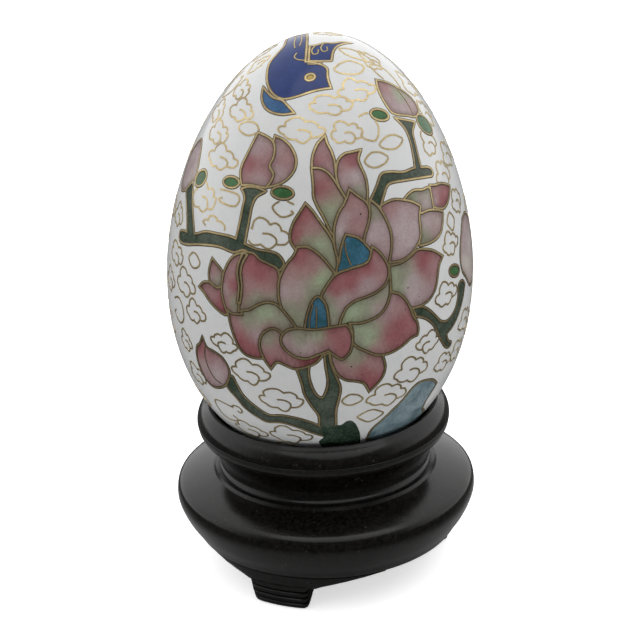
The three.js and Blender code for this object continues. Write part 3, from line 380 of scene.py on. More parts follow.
# Side outlines are [degrees round, mm above the bottom pole]; crown outlines are [x, y] in mm
# from above. Each cell also has its glaze spots, [place, tone]. Front cells come first.
CELLS = [
    # blossom
    ("petal_01_front_roll", "enamel_pink", "side", [
        [(-14.8, 30), (-12.8, 31.4), (-8.9, 32), (-3, 31.9), (3, 32.3), (8.4, 32.6, 1),
         (10.3, 31.4), (10.7, 29.7), (9.8, 27.9), (7.2, 26.8), (4.7, 27.4), (2.2, 28.3, 1),
         (-1.5, 27.6), (-5.5, 26.9), (-10, 27.2), (-13.6, 28.5)]],
        [(-12.5, 28.3, "blush"), (-7, 30.6, "sage"), (-1.2, 31.1, "mint"), (-4.2, 28.7, "blush"),
         (3, 31.1, "deep"), (5.5, 29.2, "deep"), (2.2, 29, "rose")]),
    ("petal_02_front_curl", "enamel_pink", "side", [
        [(-22.8, 28.2), (-22.2, 29.9), (-20, 31.1), (-16.5, 31.5), (-11, 30), (-4, 29),
         (1, 28.2, 1), (-2, 26.3), (-6.4, 25.3), (-10.2, 25), (-14, 25.6), (-16.5, 25.8),
         (-18.7, 24.5, 1), (-21.3, 26.2)]],
        [(-20.2, 29.4, "sage"), (-21, 27.5, "rose"), (-18.5, 25.9, "deep"), (-12.2, 26, "rose"),
         (-5.2, 26, "deep"), (-17.2, 27.6, "rose")]),
    ("stamen_front", "enamel_turquoise", "side", [
        [(-1.8, 37.2), (-4, 36.2), (-5.5, 34.1), (-6.4, 31.6, 1), (2.4, 31.6, 1), (1.8, 34.6),
         (0.6, 36.3)]], []),
    ("petal_03_right_roll", "enamel_pink", "side", [
        [(-0.2, 37.8, 1), (2, 39.3), (5, 40.7), (10, 41.4), (16.5, 42.2), (18.6, 44.4, 1),
         (21.2, 43.5), (23.8, 41.9), (24.7, 40.3), (23.2, 38.5), (19.5, 37.4), (15.5, 36.8),
         (12, 36.4), (9, 35.6), (7, 34.4), (5.8, 32.2, 1), (1, 31.6, 1), (0.6, 35)]],
        [(16.2, 41.3, "deep"), (10, 39.5, "deep"), (4.2, 38.3, "deep"), (21.5, 41.3, "rose"),
         (16, 38.5, "blush"), (7.8, 36.1, "blush"), (3, 34.8, "sage"), (1, 36.6, "sage")]),
    ("petal_04_centre", "enamel_pale", "side", [
        [(-9.7, 44.6, 1), (-6, 44.7), (-2.6, 44), (0.8, 42.7), (4.4, 40.8, 1), (1.5, 39),
         (-0.5, 37.4, 1), (-1, 31.6, 1), (-8, 31.6, 1), (-10.8, 33.8), (-14, 35.6), (-15.8, 37.4),
         (-15.8, 39.5), (-13.6, 41.8), (-10.8, 43.4)]],
        [(-9, 43.1, "deep"), (-13.2, 41.2, "rose"), (-14.2, 37.8, "blush"), (-4.5, 41.8, "rose"),
         (0, 39.6, "mint"), (-4.5, 37.4, "sage"), (-9.2, 37.9, "blush"), (-12.2, 34.7, "sage"),
         (-9.2, 33.4, "sage")]),
    ("petal_05_left_lower", "enamel_pink", "side", [
        [(-35.8, 33.1, 1), (-32.5, 32.5), (-29.5, 32.9), (-26.4, 34.1), (-23.2, 35.1),
         (-19.8, 35.7), (-16.4, 35.5), (-13.2, 34.3), (-10, 32.6), (-8.2, 31.2, 1), (-14, 30, 1),
         (-20, 26.3, 1), (-25.4, 26), (-29.4, 26.5), (-32, 28), (-34.2, 30.4)]],
        [(-32.5, 31.1, "rose"), (-31.2, 28.9, "deep"), (-25.8, 27.5, "deep"), (-26.8, 32.4, "sage"),
         (-21.2, 33.8, "mint"), (-15, 32.4, "sage"), (-23.5, 30.1, "blush"),
         (-18.2, 31.2, "rose")]),
    ("stamen_back", "enamel_turquoise", "side", [
        [(8.6, 46.5, 1), (7, 45), (6.2, 43.3), (5.9, 41.2, 1), (17, 42, 1), (18.6, 43.4, 1),
         (16.6, 44.6), (13.4, 45.9)]], []),
    ("petal_06_right_green", "enamel_pale", "side", [
        [(25, 40, 1), (24.9, 37.2), (23.6, 35.3), (21.2, 33.9), (17.5, 33.1), (12.8, 32.7),
         (8.8, 33.1), (6, 33.2, 1), (10, 37, 1), (20, 38.6, 1)]],
        [(11.8, 35.2, "mint"), (7.8, 33.7, "mint"), (19, 36.6, "sage"), (15.8, 34.6, "sage"),
         (20, 34.8, "blush")]),
    ("petal_07_upper_centre", "enamel_pink", "side", [
        [(11, 52.9, 1), (14.5, 51.9), (17.8, 50.9), (18.9, 49.6), (17.9, 47.9), (15.9, 46),
         (15.4, 44.6, 1), (8, 45.6, 1), (6, 42.5, 1), (4.3, 44.6), (4.2, 47.4), (6, 49.6),
         (9, 51.2)]],
        [(10.5, 50.8, "rose"), (8.5, 49.1, "blush"), (6.2, 47, "pale"), (11.8, 47.8, "rose"),
         (4, 45.5, "sage")]),
    ("petal_08_left_centre", "enamel_pale", "side", [
        [(-7.3, 51, 1), (-4.4, 50), (-0.7, 48.2), (2.6, 46.4), (4.6, 44.6), (5.3, 42.4),
         (4.6, 40.4, 1), (-4, 43.4, 1), (-9.8, 44, 1), (-12.4, 45.4), (-12.6, 46.8), (-11.4, 48.4),
         (-9.2, 49.8)]],
        [(-8.5, 49.1, "deep"), (-10.2, 46.6, "deep"), (-5.2, 47.4, "rose"), (-5.8, 45.5, "sage"),
         (-1.8, 44.6, "mint"), (0, 43.8, "sage")]),
    ("petal_21_left_strip", "enamel_pink", "side", [
        [(-30.6, 42.7, 1), (-32.2, 41), (-32.5, 39.4), (-31.4, 37.3), (-31.7, 34.7, 1),
         (-30.5, 34.8, 1), (-30.1, 37.4), (-31, 39.4), (-30.6, 41), (-28.9, 42.5, 1)]],
        [(-31.4, 40.2, "dirt"), (-31, 36.6, "dirt")]),
    ("petal_09_left_pink", "enamel_pink", "side", [
        [(-31, 42.8, 1), (-26.6, 42.9), (-23.4, 42.1), (-19.4, 41.6), (-16.6, 41), (-15.6, 39.4),
         (-15.9, 37), (-14.6, 35, 1), (-20, 35, 1), (-31, 33.4, 1), (-30.9, 36), (-31.3, 38.5),
         (-31.5, 40.8)]],
        [(-26.5, 40.4, "deep"), (-23, 39.4, "deep"), (-26.5, 37.9, "rose"), (-20.5, 37.9, "rose"),
         (-23.5, 35.9, "sage"), (-19.2, 35.8, "sage")]),
    ("petal_10_left_spire", "enamel_pink", "side", [
        [(-31.4, 42.6, 1), (-34.9, 41.8), (-37.2, 40.3), (-38.6, 38.4), (-38.8, 36), (-37.6, 34.2),
         (-35.8, 32.6, 1), (-29.6, 33, 1), (-30.8, 36.5), (-31.6, 39.5)]],
        [(-35.8, 39.2, "rose"), (-34, 37.2, "deep"), (-37.8, 36.4, "blush"), (-37.2, 34.2, "rose"),
         (-32.5, 34.7, "sage")]),
    ("petal_11_lower_right", "enamel_pink", "side", [
        [(25.3, 37, 1), (28.4, 36.5), (31, 35.4), (33, 33.9), (34.4, 32.4), (36.2, 31.2),
         (37, 29.8), (36.6, 28.9, 1), (33.6, 28.6), (30.6, 27.8), (27, 27.1), (23.4, 26.8),
         (19.6, 27), (16, 27.8), (12.6, 28.7), (10.4, 29.6, 1), (10.6, 31.4), (9.4, 32.8, 1),
         (17, 32.6, 1)]],
        [(13.8, 31.9, "mint"), (11.8, 29.9, "sage"), (17, 30.1, "mint"), (22, 34.7, "blush"),
         (26.5, 33.8, "rose"), (28.8, 31.4, "deep"), (25.5, 29.5, "deep"), (20.2, 28, "rose")]),
    ("petal_12_bottom", "enamel_pink", "side", [
        [(2.7, 28, 1), (3.4, 26.2), (5.6, 24.1), (8.8, 23), (12.6, 22.6), (15.6, 22.1),
         (17.2, 21.2), (18.3, 20.3, 1), (21, 21.5), (23.2, 23), (23.7, 24.6), (22.8, 26),
         (22, 27.2, 1), (10, 29, 1), (6, 27.4, 1)]],
        [(8, 27.4, "mint"), (12, 26.5, "sage"), (6.2, 25.8, "rose"), (14.5, 24.5, "deep"),
         (18.5, 25.2, "rose"), (18, 22.7, "deep"), (11.2, 24.5, "rose")]),
    ("petal_13_upper_right", "enamel_pink", "side", [
        [(19.4, 51.2, 1), (22.7, 50.1), (25.2, 48.3), (26.8, 46.3), (26.7, 44.2), (25.4, 42.2),
         (24.4, 41.2, 1), (21, 43.4, 1), (18.4, 44.2, 1), (16, 45.4, 1), (18.2, 48.4, 1)]],
        [(19.2, 49.2, "sage"), (20.5, 47, "pale"), (21.5, 44.6, "blush"), (18, 46, "pale"),
         (19.5, 43.1, "blush")]),
    ("petal_14_spire", "enamel_pale", "side", [
        [(-5.4, 55.9, 1), (-1.6, 55.9), (1.8, 55.4), (4.3, 54.5), (6.5, 53.3), (9.4, 51.6, 1),
         (6, 49, 1), (4.6, 46, 1), (2.4, 47.3), (0, 49.1), (-2.4, 50.6), (-4.1, 52), (-4.4, 53.6)]],
        [(-5, 54.5, "rose"), (-2, 53, "deep"), (-0.8, 51.5, "rose"), (0.8, 50.3, "mint"),
         (-1.8, 49.9, "sage"), (0.8, 48.7, "sage")]),
    ("petal_15_spire_tip", "enamel_pink", "side", [
        [(0.9, 60.3, 1), (1.9, 59.3), (3.9, 58.2), (5.2, 56.8), (5.5, 55.2), (6, 53.8, 1),
         (1.6, 55.2, 1), (-5.2, 55.5, 1), (-5.2, 57.4), (-3.4, 59), (-1, 59.8)]],
        [(-1.2, 58.3, "rose"), (-2.2, 56.9, "deep"), (0.8, 56.5, "rose"), (0, 55.3, "blush")]),
    ("petal_16_spire_right", "enamel_pink", "side", [
        [(18.6, 58.2, 1), (14.5, 58), (10.2, 57.8), (7, 57), (5.7, 55.6), (6.2, 53.8),
         (9.4, 51.6, 1), (18.2, 50.8, 1), (19, 52.6), (18.8, 54.4), (17.3, 55.9), (16.6, 57)]],
        [(12.2, 56.9, "deep"), (7.2, 56, "rose"), (9.2, 54.1, "blush"), (14.5, 54.4, "pale"),
         (14, 52.4, "sage")]),
    ("petal_17_right_large", "enamel_pink", "side", [
        [(23.6, 50.1, 1), (26.5, 50.5), (30.4, 50.7), (34.4, 50.4), (39, 49.8), (43.2, 48.8, 1),
         (41.4, 47.4), (40.9, 45.9), (40.3, 44.4), (37.6, 43.1), (34, 42.1), (30, 41.6),
         (25.2, 41.6, 1), (25.6, 45, 1)]],
        [(28.5, 49.2, "rose"), (36.5, 48.6, "blush"), (31.5, 47.4, "pale"), (26.2, 46.8, "pale"),
         (35, 45.7, "pale"), (29, 43.7, "pale"), (25.2, 43.2, "blush")]),
    ("petal_18_right", "enamel_pink", "side", [
        [(25, 41.2, 1), (30.2, 41.3), (34.7, 42), (38, 42.6), (42, 42.3), (46.2, 41.6),
         (51, 40.2, 1), (48.6, 39.2), (47.4, 38), (46.4, 36.6), (44.9, 35.3), (42, 34.2),
         (38, 33.7), (33.6, 33.7, 1), (29, 36, 1), (25.2, 37.2, 1)]],
        [(25.8, 40.2, "mint"), (30.5, 39.2, "sage"), (27.8, 37.3, "mint"), (33.8, 37.8, "pale"),
         (41.2, 40.4, "deep"), (43.8, 39.4, "rose"), (38.8, 34.9, "blush"), (33.5, 35.2, "pale")]),
    ("petal_19_far_right", "enamel_pale", "side", [
        [(42, 47.7, 1), (46.8, 47.8), (51.6, 47.4), (56, 46.7, 1), (54.4, 45.4), (52.4, 44.1),
         (49, 43.3), (44.2, 43), (39, 43.1, 1), (40.6, 45.4, 1)]],
        [(45.5, 46.1, "pale"), (48, 45, "blush"), (42.8, 44.3, "sage")]),
    ("petal_20_far_tip", "enamel_pink", "side", [
        [(51.3, 51.2, 1), (54.6, 50.9), (59, 50.7), (63.2, 50.2), (67.2, 49.4, 1), (64.4, 48.5),
         (61.2, 47.6), (57.6, 47.1), (53.6, 47.4), (50.2, 48, 1), (50.8, 49.6)]],
        [(54.8, 49.9, "rose"), (51.5, 49, "blush"), (56.8, 48.8, "deep")]),
    ("petal_22_left_small", "enamel_pink", "side", [
        [(-44.7, 40.5, 1), (-41.8, 39.8), (-39.3, 39), (-38.8, 37), (-40.9, 36.2), (-44.4, 36.7),
         (-45.6, 37.7), (-45.6, 38.9)]],
        [(-43.8, 38.8, "rose"), (-44, 37.4, "blush"), (-41, 37, "sage")]),
    ("petal_23_left_low", "enamel_pink", "side", [
        [(-50.4, 35.2, 1), (-48.2, 36.2), (-45, 36.6), (-41.2, 36.1), (-38.7, 35), (-35.8, 32.9),
         (-36.8, 32.2), (-40.6, 32.7), (-44.4, 33.6), (-47.5, 34.6)]],
        [(-47.2, 35.3, "rose"), (-42.8, 34.4, "rose"), (-40, 33.4, "deep")]),
    ("petal_24_back_right", "enamel_pale", "side", [
        [(34.7, 50.3, 1), (37.9, 51), (41.7, 51.3), (46.1, 51), (50.6, 50.9), (51.5, 49.2),
         (50, 47.7), (44, 47.5)]],
        [(39.2, 50.6, "mint"), (45.8, 50.5, "sage"), (45, 49.6, "pale")]),
    # left spray
    ("bud_left_outer", "enamel_pink", "side", [
        [(-35.9, 59.8, 1), (-31.5, 59.6), (-27.2, 59.2), (-24.6, 58.4), (-23.9, 57), (-25, 55.7),
         (-22.5, 54.6), (-23.2, 53.5), (-25, 52.6, 1), (-28, 52.6), (-32.4, 52.6), (-36.6, 52.3, 1),
         (-38.7, 53.7), (-39.2, 55), (-38, 56.8)]],
        [(-33.8, 57.8, "blush"), (-35.5, 55.4, "deep"), (-30, 55.7, "rose"), (-35.2, 53.4, "rose"),
         (-29.5, 53.4, "blush"), (-25, 55.2, "rose")]),
    ("bud_left_inner", "enamel_pink", "side", [
        [(-25.6, 59.8, 1), (-20.4, 59.4), (-15.9, 58.5), (-13, 57.1), (-13, 55.6), (-15.8, 54.2),
         (-19.6, 53.3), (-25, 52.6, 1), (-26.5, 55, 1)]],
        [(-23.8, 58.2, "blush"), (-19.5, 56.9, "rose"), (-21, 55, "blush")]),
    ("bud_far_left", "enamel_pink", "side", [
        [(-84, 53.8), (-79, 55.4), (-74, 54.8), (-69.4, 52.8), (-67.4, 50.8), (-70, 49.2),
         (-74.6, 47.6), (-80, 47.2), (-84, 48.6), (-86, 51.2)]],
        [(-77.1, 53.2, "pale"), (-76.1, 49.2, "pale"), (-73.7, 52, "pale"), (-77.7, 51.2, "pale"),
         (-73, 50.4, "cream")]),
    ("leaf_left_a", "enamel_leaf_green", "side", [oval(-42.6, 52.3, 4.5, 0.8, 0.15)], []),
    ("leaf_left_b", "enamel_leaf_green", "side", [oval(-17.3, 52.2, 4.8, 0.88)], []),
    ("branch_left", "enamel_dark_green", "side", [
        [(-69, 41.2), (-67.2, 42.1), (-57, 42.9), (-50.7, 44), (-44.4, 44.4), (-36.8, 44.6),
         (-31, 44.1), (-25.4, 43.6), (-17.6, 43.4), (-14.4, 42), (-16.4, 40.8), (-20, 41.4),
         (-25.4, 42.3), (-30.4, 43.1), (-34.9, 42.4), (-41.2, 42.6), (-46.9, 42.3), (-53.9, 41.6),
         (-61.5, 40.6), (-67.2, 40.3)],
        [(-36.4, 51.8, 1), (-33, 52.3), (-28.5, 52.4), (-24.4, 52.1, 1), (-28.4, 51.1),
         (-29.8, 49.6), (-30, 47.4), (-30.6, 43.6, 1), (-35, 43.6, 1), (-34.2, 46), (-33.9, 49),
         (-34, 50.8)],
        [(-56.4, 42.4, 1), (-60, 45), (-63.4, 47), (-67, 49.4, 1), (-70.4, 50, 1), (-72.8, 47.8, 1),
         (-68.4, 46.2), (-64.4, 44), (-62, 41.4, 1)]], []),
    ("leaf_far_left", "enamel_leaf_green", "side", [oval(-62.7, 51, 4, 1.2, 0.6)], []),
    # upper right spray
    ("bud_upper_right", "enamel_pink", "side", [
        [(46, 66.5, 1), (54.4, 65.9), (60.7, 65), (66.4, 63.9), (70, 62.6), (69.6, 61.5),
         (67, 60.8), (60.7, 60.6), (54.4, 61.2), (45, 62), (42.6, 63), (41.8, 64.4), (43, 65.6)]],
        [(50, 65, "rose"), (61.7, 62.1, "blush"), (53, 62.4, "pale"), (58.1, 63.8, "mint"),
         (48.3, 63.6, "blush")]),
    ("leaf_upper_right", "enamel_leaf_green", "side", [oval(34.8, 62.3, 5.8, 0.75, -0.3)], []),
    ("branch_upper_right", "enamel_dark_green", "side", [
        [(19.8, 51.2, 1), (23.2, 52.9), (26.5, 54.5), (31.6, 54.6), (37.9, 54.2), (44.9, 54.3),
         (50, 54), (54.4, 53.6), (56.3, 52.9), (55, 52.3), (50.6, 52.5), (44.2, 52.8), (37.9, 53),
         (31.6, 53.1), (28.4, 52.8), (25.9, 51.5), (23.6, 49.9, 1)],
        [(44.2, 61.5, 1), (49, 61), (54, 60.5), (58.4, 60, 1), (52.9, 59), (51, 57.4), (49.8, 55.6),
         (49, 53.4, 1), (44.6, 53.4, 1), (46.8, 56), (48.2, 58), (48, 59.8)]], []),
    ("leaf_upper_far", "enamel_leaf_green", "side", [oval(66.7, 59, 6, 1.4, -0.8)], []),
    # right spray
    ("bud_right", "enamel_pink", "side", [
        [(63.4, 38.4), (66, 41), (71, 43.6, 1), (77, 43.8), (83, 42), (86, 38.2), (85, 34.6),
         (79, 32), (73, 32.2), (67.8, 34.4), (64.4, 36)]],
        [(73.9, 41.3, "pale"), (72.4, 35.2, "cream"), (69.7, 39.3, "pale"), (74.2, 38.3, "cream"),
         (69, 36.9, "cream")]),
    ("leaf_right", "enamel_leaf_green", "side", [oval(58, 36.9, 3.8, 0.9, -0.5)], []),
    ("branch_right", "enamel_dark_green", "side", [
        [(34.2, 33.6, 1), (38.2, 33.5), (42, 32.5), (45.6, 31), (48.9, 29.7), (53.1, 29.3),
         (57.6, 30.3), (59.8, 32), (60.6, 34.2), (64, 34.4), (66.8, 33.4, 1), (64.4, 31),
         (60.7, 28.8), (56.9, 27.5), (53.4, 26.8), (55, 25.4), (57.9, 24.6), (56.9, 24),
         (53.7, 24.5), (49.9, 26.2), (47.2, 28), (44, 29.9), (39.8, 31.4), (35.8, 32.1, 1)]], []),
    # lower left spray
    ("bud_lower_left", "enamel_pink", "side", [
        [(-48.9, 27, 1), (-46.9, 25.4), (-43.1, 25.1), (-39.2, 24.5), (-36.8, 22.9), (-37.1, 21.3),
         (-39.4, 19.6), (-43.1, 18.4), (-48.2, 17.8), (-52, 18.6), (-54, 20.3), (-54.5, 22.6),
         (-53.2, 24.5), (-50.8, 25.5)]],
        [(-51, 24.4, "deep"), (-47.2, 24, "rose"), (-48.8, 21.1, "blush"), (-43.5, 20.9, "pale")]),
    ("branch_lower_left", "enamel_dark_green", "side", [
        [(-38.6, 20.6), (-35.6, 21.6), (-34, 20.2), (-31.7, 18.2), (-26.6, 16.4), (-21.6, 15.3),
         (-15.9, 15.6), (-9.6, 15.3), (-3.2, 14.4), (0.4, 13.4, 1), (0.8, 11.4, 1), (-3.9, 12.1),
         (-9.6, 13.2), (-15.9, 13.9), (-20.3, 13.8), (-24.1, 13.6), (-28.5, 14.4), (-33, 15.7),
         (-35.8, 17.3), (-39.3, 19)]], []),
    # foot of the tree
    ("trunk_fork", "enamel_dark_green", "side", [
        [(-9.3, 25.2, 1), (-7.4, 22.4), (-6.4, 20.3), (-3.9, 18.1), (-1, 16), (-0.8, 13.6, 1),
         (6.4, 13.6, 1), (5.8, 17), (6.6, 19.4), (6.9, 21.7), (4.8, 24.1), (3.2, 26), (2.4, 28, 1),
         (0.8, 27.6, 1), (1.3, 25.6), (2.2, 22.9), (1.6, 21), (0.2, 19.8), (-1.9, 20.3),
         (-3.6, 21.8), (-4.8, 24), (-4.6, 25.6, 1)]], []),
    ("moss_mound", "enamel_moss", "side", [
        [(-1, 13.5, 1), (-1, 12.2), (1.4, 11.2), (-0.8, 9.8), (1, 8.2, 1), (10, 7.6),
         (21.2, 8.4, 1), (18.6, 11.1), (17, 12.4), (14.8, 13.9), (12.6, 14.7), (10.6, 14.6),
         (8.6, 13.9), (6.6, 13.9, 1)]], []),
    ("rock_slope", "enamel_rock_blue", "side", [
        [(23.4, 10.6), (24.2, 12.2), (27.8, 13.9), (31, 15.5), (34.7, 17.1), (37.9, 18.9),
         (41.2, 19.7), (46.1, 19.5), (50.6, 18.8), (55, 17.4, 1), (52.2, 14.2), (54.4, 12.3),
         (60, 10.8), (60, 8.8, 1), (38, 8.2), (25.4, 9)]], []),
    # bird
    ("bird_eye", "enamel_yellow", "crown", [oval(-2.0, -10.0, 0.75, 0.5)], []),
    ("bird_body", "enamel_cobalt", "crown", [
        [(1.2, -11.6, 1), (-1, -11.9), (-4, -12.2), (-6.2, -11.8), (-7.7, -10.4), (-8.5, -8.5),
         (-8.6, -6.5), (-8.2, -4.5), (-7, -3), (-6, -1.6), (-5.7, 0.4), (-5.4, 2.2), (-4.6, 2.8),
         (-3.9, 2), (-3.2, 2.6), (-2.5, 1.8), (-2.4, -1), (-2.5, -4.4), (-2.7, -7.3, 1),
         (-0.4, -8.1), (0.6, -8.8), (0.7, -10.2)]], []),
    ("bird_wing", "enamel_cobalt", "crown", [
        [(-2.2, -7.3, 1), (-2.1, -5.4), (-2, -3.9, 1), (-0.9, -3.8), (0.4, -3.2), (1.7, -3.1),
         (3, -2.2), (4.7, -1.5, 1), (3.3, -2.7), (2.2, -4), (1.6, -5.4), (1.3, -7.4, 1),
         (-0.5, -7.5)]], []),
    ("bird_tail", "enamel_tail_blue", "crown", [
        [(-9.2, -8.4, 1), (-8.6, -9.6), (-7.6, -11), (-6.2, -12), (-5.6, -12.7), (-4.4, -14, 1),
         (-6.2, -13.6), (-7.8, -12.7), (-8.9, -11.5), (-9.4, -10)]], []),
]

# Glaze tones as light linear colours, for the shading inside a petal.
TONES = {
    "deep": (0.26, 0.09, 0.1), "rose": (0.3, 0.172, 0.172), "blush": (0.336, 0.25, 0.25),
    "pale": (0.375, 0.3, 0.305), "cream": (0.45, 0.4, 0.37), "sage": (0.23, 0.238, 0.17),
    "mint": (0.27, 0.32, 0.212), "dirt": (0.09, 0.055, 0.045), "cobalt": (0.006, 0.024, 0.128),
    "steel": (0.026, 0.085, 0.2), "amber": (0.44, 0.31, 0.05), "leaf": (0.044, 0.12, 0.044),
    "bottle": (0.046, 0.062, 0.046), "moss": (0.028, 0.046, 0.032), "teal": (0.03, 0.105, 0.155),
    "ice": (0.19, 0.265, 0.295), "white": (0.622, 0.628, 0.622),
}
TONE_FALL = 3.4
TONE_SOFT = 0.7


def fullness(cosine):
    return np.sqrt(np.maximum(0, 1 - cosine**2)) * (1 - EGG_TAPER * cosine + EGG_BLUNT * cosine**2)


# the egg's profile as a table: angle from the top, radius, height, and length along the shell
TURN = np.linspace(0, math.pi, 8001)
RADII = EGG_RADIUS * fullness(np.cos(TURN)) / fullness(np.cos(TURN)).max()
HEIGHTS = EGG_HEIGHT / 2 * (1 + np.cos(TURN))
LENGTHS = np.concatenate([[0], np.cumsum(np.hypot(np.diff(RADII), np.diff(HEIGHTS)))])
SLOPE_R = np.gradient(RADII, TURN)
SLOPE_Z = -EGG_HEIGHT / 2 * np.sin(TURN)
FULLEST = int(RADII.argmax())
EGG_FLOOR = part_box("seat_ring")[1].z / MM - 0.1 - SEAT_HIGH


def radius_at(height):
    return np.interp(-np.asarray(height, float), -HEIGHTS, RADII)


def slope_at(height, reach):
    return (radius_at(height + reach) - radius_at(height - reach)) / (2 * reach)


LEAN_PIVOT = float(SEAT_MIDDLE + radius_at(SEAT_MIDDLE) * slope_at(SEAT_MIDDLE, 0.05))


def unroll(points, kind):
    """Places a drawing on the shell rolled out flat about the egg's top."""
    points = np.asarray(points, float)
    if kind == "side":
        length = np.interp(-points[:, 1], -HEIGHTS, LENGTHS)
        bearing = np.radians(points[:, 0])
    else:
        radius = np.hypot(points[:, 0], points[:, 1])
        length = np.interp(radius, RADII[:FULLEST], LENGTHS[:FULLEST])
        bearing = np.arctan2(points[:, 0], -points[:, 1])
    return np.stack([length * np.sin(bearing), -length * np.cos(bearing)], 1)


def lean(points, is_place=True):
    c, s = math.cos(EGG_LEAN), math.sin(EGG_LEAN)
    x, y, z = points[:, 0], points[:, 1], points[:, 2] - (LEAN_PIVOT if is_place else 0)
    lift = EGG_FLOOR + LEAN_PIVOT if is_place else 0
    return np.stack([x * c + z * s, y, z * c - x * s + lift], 1)


def roll_up(flat, inset=0.0):
    """Takes points of the flat drawing to the leaning egg; inset is the depth under its surface."""
    flat = np.asarray(flat, float)
    turn = np.interp(np.hypot(flat[:, 0], flat[:, 1]), LENGTHS, TURN)
    bearing = np.arctan2(flat[:, 0], -flat[:, 1])
    radius, height, dr, dz = (np.interp(turn, TURN, table)
                              for table in (RADII, HEIGHTS, SLOPE_R, SLOPE_Z))
    size = np.hypot(dr, dz)
    out, up = -dz / size, dr / size
    normal = np.stack([out * np.sin(bearing), -out * np.cos(bearing), up], 1)
    place = np.stack([radius * np.sin(bearing), -radius * np.cos(bearing), height], 1)
    place = place - normal * np.reshape(inset, (-1, 1))
    return lean(place) * MM, lean(normal, False)


SIDE_STEP, CROWN_STEP = 0.52, 0.18
LEAST_STEP = 0.22


def drawn_line(points, kind, closed=True):
    """An outline in smooth short steps, laid out flat."""
    line = unroll(bend_through(points, closed, SIDE_STEP if kind == "side" else CROWN_STEP), kind)
    keep, last = [0], line[0]
    for i in range(1, len(line)):
        if np.linalg.norm(line[i] - last) > LEAST_STEP:
            keep.append(i)
            last = line[i]
    if not closed:
        keep[-1] = len(line) - 1
    return line[keep]


def inside(points, outline):
    """Tells which points lie inside a closed outline."""
    x, y = points[:, 0], points[:, 1]
    within = np.zeros(len(points), bool)
    low, high = outline.min(axis=0), outline.max(axis=0)
    near = (x > low[0]) & (x < high[0]) & (y > low[1]) & (y < high[1])
    x, y = x[near], y[near]
    odd = np.zeros(len(x), bool)
    for (x1, y1), (x2, y2) in zip(outline, np.roll(outline, -1, axis=0)):
        if y1 != y2:
            odd ^= ((y1 > y) != (y2 > y)) & (x < (x2 - x1) * (y - y1) / (y2 - y1) + x1)
    within[near] = odd
    return within


OUTLINES = [[drawn_line(o, kind) for o in outlines] for _, _, kind, outlines, _ in CELLS]


def near_tree(points):
    """Holds flat points, so that the nearest of them can be asked for."""
    tree = KDTree(len(points))
    for i, (x, y) in enumerate(points):
        tree.insert((x, y, 0), i)
    tree.balance()
    return tree


def distance_to(tree, point):
    return tree.find((*point, 0))[2]


EDGE_TREE = near_tree(np.vstack([line for cell in OUTLINES for line in cell]))
RING_STEP = 0.85
EDGE_CLEAR = 0.33
LEAST_ROUND = 60
LOW_RINGS = 60
WHITE = len(CELLS)
WINDOW = WHITE + 1


def loop_edges(start, count):
    return [(start + i, start + (i + 1) % count) for i in range(count)]


def lay_out():
    """Cuts the rolled-out shell along every outline and names the front cell of each triangle."""
    vent = float(np.interp(math.pi - VENT_RADIUS / (EGG_HEIGHT / 2), TURN, LENGTHS))
    points, edges = [(0.0, 0.0)], []
    rings = round(vent / RING_STEP)
    for ring in range(1, rings + 1):
        length = vent * ring / rings
        radius = float(np.interp(length, LENGTHS, RADII))
        count = max(LEAST_ROUND if length > LOW_RINGS else 6,
                    math.ceil(2 * math.pi * radius / RING_STEP))
        if ring == rings:
            edges += loop_edges(len(points), count)
        for i in range(count):
            angle = 2 * math.pi * (i + 0.5 * (ring % 2)) / count
            place = (length * math.sin(angle), -length * math.cos(angle))
            if ring == rings or distance_to(EDGE_TREE, place) > EDGE_CLEAR:
                points.append(place)
    for cell in OUTLINES:
        for line in cell:
            edges += loop_edges(len(points), len(line))
            points += [tuple(p) for p in line]
    corners, _, faces, _, _, _ = delaunay_2d_cdt(
        [Vector(p) for p in points], edges, [], 0, 1e-4, False)
    corners = np.array([tuple(c) for c in corners])
    faces = np.array([f for f in faces if len(f) == 3])
    middles = corners[faces].mean(axis=1)
    owner = np.full(len(faces), WHITE)
    for i in reversed(range(len(CELLS))):
        for line in OUTLINES[i]:
            owner[inside(middles, line)] = i
    return corners, faces, owner


def neighbours(faces):
    """The pairs of triangles that share an edge, with the edge."""
    pairs, open_edges = [], {}
    for number, face in enumerate(faces):
        for k in range(3):
            a, b = int(face[k]), int(face[(k + 1) % 3])
            key = (a, b) if a < b else (b, a)
            if key in open_edges:
                pairs.append((open_edges.pop(key), number, key))
            else:
                open_edges[key] = number
    return pairs


SCRAP_AREA = 0.9  # mm2: a patch below this always goes to the cell beside it
PART_AREA = 2.5  # mm2: and below this too, if its cell has a larger patch elsewhere


